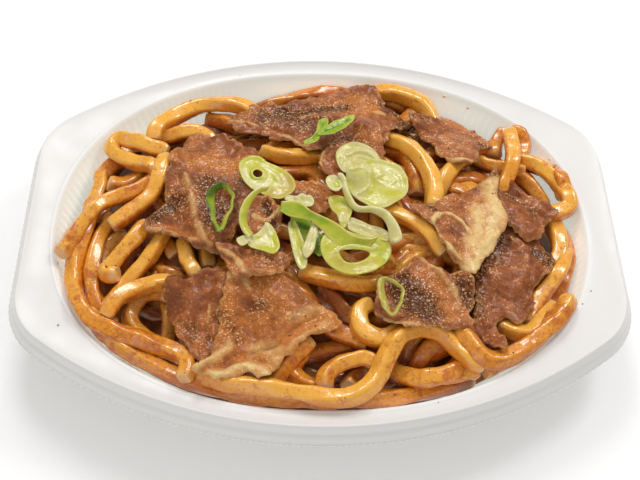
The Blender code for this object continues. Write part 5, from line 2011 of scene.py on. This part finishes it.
        (-1.5, -12.4, 47.5, 0.55), (1, -15.5, 47, 0.5), (4.8, -19.3, 46.5, 0.5),
        (9.8, -20.6, 46, 0.5), (16.9, -20.8, 45.5, 0.42)), seed=46, rim=-0.3, middle=0.06,
        bulge=0.5),
    OnionBand("curl", "onion_curl", ((5.7, 11.6, 51, 0), (7.4, 11.5, 51, 0), (8.8, 9.4, 50.5, 0),
        (9.1, 7.7, 50, 0.05), (10.6, 2.1, 49.5, 0.05), (13.7, -2.5, 49, 0.05),
        (19.6, -2.7, 49, 0.02), (24.3, -5.1, 49.5, 0), (28.1, -11.1, 49.5, 0), (29.7, -17, 48.5, 0),
        (26.9, -19.3, 48, 0)), ((5.7, 10.3, 49, 0), (6.6, 9.9, 49, 0), (7.1, 8.1, 48.6, 0.05),
        (7.7, 5.6, 48, 0.1), (8.8, 0.9, 47.5, 0.1), (12.4, -3.9, 47, 0.1), (18.5, -4.3, 46.5, 0.05),
        (22.3, -6.5, 46.6, 0.02), (24.5, -10.6, 46.6, 0), (25.1, -15, 46, 0), (25.4, -17.6, 46, 0)),
        seed=52, wall=1.3, bulge=-0.5, rough=0.25, rim=0.0, middle=0.14),
    OnionBand("ring_olive", "onion_ring_olive", ((22.6, -32.9, 46, 0.6), (20.3, -33.7, 46, 0.6),
        (19.6, -37.8, 46, 0.6), (20.3, -42.9, 45.8, 0.55), (21.8, -46.9, 45.5, 0.5),
        (24.6, -49.6, 45, 0.35), (26.9, -46.8, 45.4, 0.45), (28.8, -42.8, 45.8, 0.5),
        (29.4, -38.6, 46, 0.5), (27.5, -35.8, 46, 0.55), (24.7, -33.6, 46, 0.6)),
        ((23.1, -34, 44.6, 0.5), (22.4, -35.4, 44.5, 0.5), (22.5, -37.8, 44.5, 0.5),
        (23, -41.6, 44.5, 0.45), (23.6, -44.9, 44.4, 0.4), (24.8, -47.1, 44.3, 0.3),
        (26.3, -44.8, 44.4, 0.4), (28, -42.1, 44.5, 0.4), (28.7, -38.3, 44.6, 0.45),
        (27.2, -36.2, 44.6, 0.45), (24.7, -34.7, 44.6, 0.5)), closed=True, seed=50, wall=0.65,
        rim=0.2, middle=0.25, clear=0.8, rough=0.4),
)


# ------------------------------------------------------------------ crumbs and sauce
@dataclass(frozen=True)
class CrumbFinish:
    """Pepper, chilli and browned crumb."""

    pepper: Colour = (0.040, 0.016, 0.007)
    chilli: Colour = (0.60, 0.14, 0.016)
    crumb: Colour = (0.66, 0.36, 0.11)

    def make(self) -> Material:
        """Wire up the bits' colours.

        Returns:
            The material.
        """
        graph = Graph("crumbs")
        shade = graph.trait("shade") + (graph.noise(2400.0, 2.0) - 0.5) * 0.3
        colour = graph.mix(shade.ramp(0.40, 0.48), self.pepper, self.chilli)
        colour = graph.mix(shade.ramp(0.72, 0.82), colour, self.crumb)
        return graph.finish({"Roughness": 0.35}, {"Base Color": colour})


@dataclass
class Crumbs:
    """Bits of spice and fried crumb stuck to the food, and a few on the tray."""

    finish: CrumbFinish
    count: int = 300
    on_tray: int = 7
    torn: tuple = ((97, 27, 1.7), (98, 29, 1.3), (100, 20, 1.8), (101, 22, 1.2))
    torn_shade: float = 0.68
    reach: tuple[float, float] = (106.0, 80.0)
    lowest_on_tray: float = 24.0
    steepest: float = 0.35
    radius: float = 0.5
    seed: int = 23

    def tree(self) -> NodeTree:
        """Build the Geometry Nodes that set an uneven bit on each point.

        Returns:
            The tree.
        """
        recipe = Recipe("crumb_scatter", {"Size": "Float", "Seed": "Int", "Finish": "Material"})
        size = recipe.make("GeometryNodeInputNamedAttribute", Name="size")
        bit = recipe.make("GeometryNodeMeshIcoSphere", Radius=recipe.given["Size"],
                          Subdivisions=2)
        uneven = recipe.make("FunctionNodeRandomValue", {"data_type": "FLOAT_VECTOR"},
                             Min=(0.75, 0.55, 0.4), Max=(1.5, 1.0, 0.8),
                             Seed=recipe.given["Seed"])
        turn = recipe.make("FunctionNodeRandomValue", {"data_type": "FLOAT_VECTOR"},
                           Min=(-0.4, -0.4, 0.0), Max=(0.4, 0.4, 6.28), Seed=5)
        scale = recipe.make("ShaderNodeVectorMath", {"operation": "SCALE"},
                            Vector=uneven.outputs["Value"], Scale=size.outputs["Attribute"])
        placed = recipe.make("GeometryNodeInstanceOnPoints", Points=recipe.given["Geometry"],
                             Instance=bit.outputs["Mesh"], Rotation=turn.outputs["Value"],
                             Scale=scale.outputs["Vector"])
        return recipe.finish(placed.outputs["Instances"])

    def spots(self, skin: Skin, tray: int) -> list[tuple[Vector, float, float]]:
        """Return where the bits lie, with their size and shade.

        Args:
            skin: what they lie on.
            tray: the tray's number in the skin.

        Returns:
            A place, a size and a shade for each bit.
        """
        draw = np.random.default_rng(self.seed)
        found, spare = [], self.on_tray
        while len(found) < self.count:
            x, y = (draw.uniform(-reach, reach) for reach in self.reach)
            size, shade = 0.32 + 0.5 * draw.random() ** 3, draw.random()
            spot, normal, number = skin.under(x, y) or (Vector(), Vector(), tray)
            low = spare == 0 or spot.z < self.lowest_on_tray
            if normal.z < self.steepest or (number == tray and low):
                continue
            spare -= number == tray
            found.append((spot + normal * 0.15 * size, size, shade))
        for x, y, size in self.torn:
            under = skin.under(x, y)
            if under:
                found.append((under[0], size, self.torn_shade))
        return found

    def build(self, skin: Skin, tray: int) -> Object:
        """Lay the bits on the skin as one piece.

        Args:
            skin: what they lie on.
            tray: the tray's number in the skin.

        Returns:
            The finished piece.
        """
        places, sizes, shades = zip(*self.spots(skin, tray))
        made = build_mesh("crumbs", np.array([tuple(place) for place in places]), [],
                          {"size": sizes, "shade": shades}, None)
        run_recipe(made, self.tree(), {"Size": self.radius * MM, "Seed": self.seed,
                                       "Finish": self.finish.make()})
        made.data.shade_smooth()
        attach(made, "root")
        return made


@dataclass(frozen=True)
class SauceFinish:
    """Thin oily sauce, clear at its edge and orange where it is thicker."""

    edge: Colour = (0.93, 0.90, 0.79)
    sauce: Colour = (0.90, 0.60, 0.27)

    def make(self) -> Material:
        """Wire up the film.

        Returns:
            The material.
        """
        graph = Graph("sauce_film")
        film = graph.trait("film") + (graph.noise(420.0, 3.0) - 0.5) * 0.5
        colour = graph.mix(film.ramp(0.1, 0.95), self.edge, self.sauce)
        constants = {"Roughness": 0.12, "Subsurface Weight": 0.1,
                     "Subsurface Radius": (0.002, 0.001, 0.0005)}
        return graph.finish(constants, {"Base Color": colour})


@dataclass
class WallSauce:
    """Sauce on the well's wall: smears beside the noodles and small drops.

    Each mark is its direction in degrees, its height, half its length and half its height.
    """

    tray: Tray
    finish: SauceFinish
    marks: tuple = ((9, 27.6, 6.0, 1.3), (-139, 28.2, 5.0, 1.0), (-20, 28.0, 5.5, 1.1),
                    (52, 30.2, 0.8, 0.5), (45, 28.6, 0.9, 0.6), (31, 30.4, 0.6, 0.4),
                    (-170, 30.2, 0.9, 0.5), (20, 30.6, 0.7, 0.4))
    columns: int = 48
    highest: float = 31.6
    wall_heights: tuple[float, ...] = (8.0, 11.5, 17.5, 23.0, 28.0, 31.0, 31.9)
    wall_insets: tuple[float, ...] = (7.6, 6.4, 4.6, 3.0, 1.6, 0.7, 0.1)

    def wall(self, angle: Array, height: Array, off: Array) -> Array:
        """Return points on the wall.

        Args:
            angle: their directions.
            height: their heights.
            off: how far each stands off the wall, towards the middle.

        Returns:
            One row for each.
        """
        inset = np.interp(height, self.wall_heights, self.wall_insets)
        reach = self.tray.oval(angle, inset) - self.tray.flute(angle) * 0.5 - off
        return polar(reach, angle, height)

    def build(self) -> list[Object]:
        """Build each mark as a thin closed film.

        Returns:
            The finished films.
        """
        material, made = self.finish.make(), []
        for number, (degrees, height, long, tall) in enumerate(self.marks):
            turn = around(self.columns)
            round_line = np.column_stack([long * np.cos(turn), tall * np.sin(turn)])
            ragged = 1.0 + 0.35 * wander(round_line + 40.0 * number, 0.8 * tall + 0.6, 61)
            cloth = fine_lattice([round_line * ragged[:, None]], 0.22 + 0.12 * tall)
            middle = math.radians(degrees)
            reach = float(self.tray.oval(np.array([middle]), 1.5)[0])
            angle = middle - cloth.points[:, 0] / reach
            level = np.minimum(height + cloth.points[:, 1], self.highest)
            film = ease(cloth.inside, 0.0, 0.6 * tall)
            back = self.wall(angle, level, np.full(len(angle), 0.06))
            front = self.wall(angle, level, 0.16 + 0.18 * film)
            made.append(close_sheet(f"sauce_{number + 1}", front, back, cloth.faces(),
                                    {"film": film}, material, ""))
        return made


# ------------------------------------------------------------------ studio
@dataclass
class Studio:
    """White sweep, soft lights and the camera over the near long side."""

    lens: float = 55.7
    eye: tuple[float, float, float] = (-13.3, -224.1, 362.6)
    aim: tuple[float, float, float] = (-1.1, -8.9, 34.0)
    roll: float = 3.18
    clip_start: float = 0.01
    room: float = 0.64
    glossy_share: float = 0.15
    sky_colour: Colour = (1.0, 0.985, 0.96)
    floor_half: float = 1.6
    lamp_aim: tuple[float, float, float] = (0.0, 0.0, 0.02)
    lamps: tuple = (("key", (0.34, 0.26, 0.50), 0.17, 1.1),
                    ("back", (-0.10, 0.48, 0.70), 0.28, 2.5),
                    ("front", (-0.30, -0.60, 0.28), 0.45, 0.5))

    def camera(self) -> None:
        """Place the camera and make it the scene's."""
        data = bpy.data.cameras.new("camera")
        data.lens = self.lens
        data.clip_start = self.clip_start
        camera = link("camera", data)
        eye, aim = Vector(self.eye) * MM, Vector(self.aim) * MM
        turn = (aim - eye).to_track_quat("-Z", "Y").to_matrix()
        turn = turn @ Matrix.Rotation(math.radians(self.roll), 3, "Z")
        camera.matrix_world = Matrix.Translation(eye) @ turn.to_4x4()
        bpy.context.scene.camera = camera

    def area(self, name: str, place: tuple, size: float, watts: float) -> None:
        """Add a square soft light.

        Args:
            name: the light's name.
            place: where it hangs, in metres.
            size: its side in metres.
            watts: its power.
        """
        data = bpy.data.lights.new(name, "AREA")
        data.shape = "SQUARE"
        data.size = size
        data.energy = watts
        lamp = link(name, data)
        lamp.location = place
        heading = Vector(self.lamp_aim) - Vector(place)
        lamp.rotation_euler = heading.to_track_quat("-Z", "Y").to_euler()

    def sky(self, tree: NodeTree) -> None:
        """Set the even room light, dimmed in reflections so that the lamps show in them.

        Args:
            tree: the world's node tree.
        """
        backdrop = tree.nodes["Background"]
        feed(tree, backdrop.inputs["Color"], self.sky_colour)
        path = add_node(tree, "ShaderNodeLightPath")
        dim = add_node(tree, "ShaderNodeMapRange", {}, {
            "Value": path.outputs["Is Glossy Ray"], "To Min": self.room,
            "To Max": self.room * self.glossy_share})
        feed(tree, backdrop.inputs["Strength"], dim.outputs["Result"])

    def build(self) -> None:
        """Make the floor, world, lights and camera."""
        half = self.floor_half
        corners = np.array([(-half, -half, 0), (half, -half, 0), (half, half, 0), (-half, half, 0)])
        floor = build_mesh("floor", corners / MM, [(0, 1, 2, 3)], {}, FloorFinish().make())
        world = bpy.data.worlds.new("studio")
        world.use_nodes = True
        self.sky(world.node_tree)
        bpy.context.scene.world = world
        bpy.context.scene.view_settings.view_transform = "Standard"
        for lamp in self.lamps:
            self.area(*lamp)
        self.camera()


def main() -> None:
    """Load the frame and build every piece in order."""
    logging.basicConfig(level=logging.INFO, format="%(message)s")
    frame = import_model()
    tray = Tray(TrayFinish())
    shell = tray.build()
    LOG.info("built %s", shell.name)
    heap = Heap(tray, NoodleFinish(), CoreFinish())
    strands = heap.build()
    for piece in strands:
        LOG.info("built %s, %d faces", piece.name, len(piece.data.polygons))
    pork = MeatFinish().make()
    noodles = Skin(strands[:2])
    laid = [slice_of_pork.build(pork, frame, noodles) for slice_of_pork in SLICES]
    for piece in laid:
        LOG.info("built %s", piece.name)
    onion = OnionFinish().make()
    for cut in ONIONS:
        LOG.info("built %s", cut.build(onion, frame).name)
    for film in WallSauce(tray, SauceFinish()).build():
        LOG.info("built %s", film.name)
    bits = Crumbs(CrumbFinish()).build(Skin([shell, *strands[:2], *laid]), 0)
    LOG.info("built %s, %d faces", bits.name, len(bits.data.polygons))
    Studio().build()


if __name__ == "__main__":
    main()
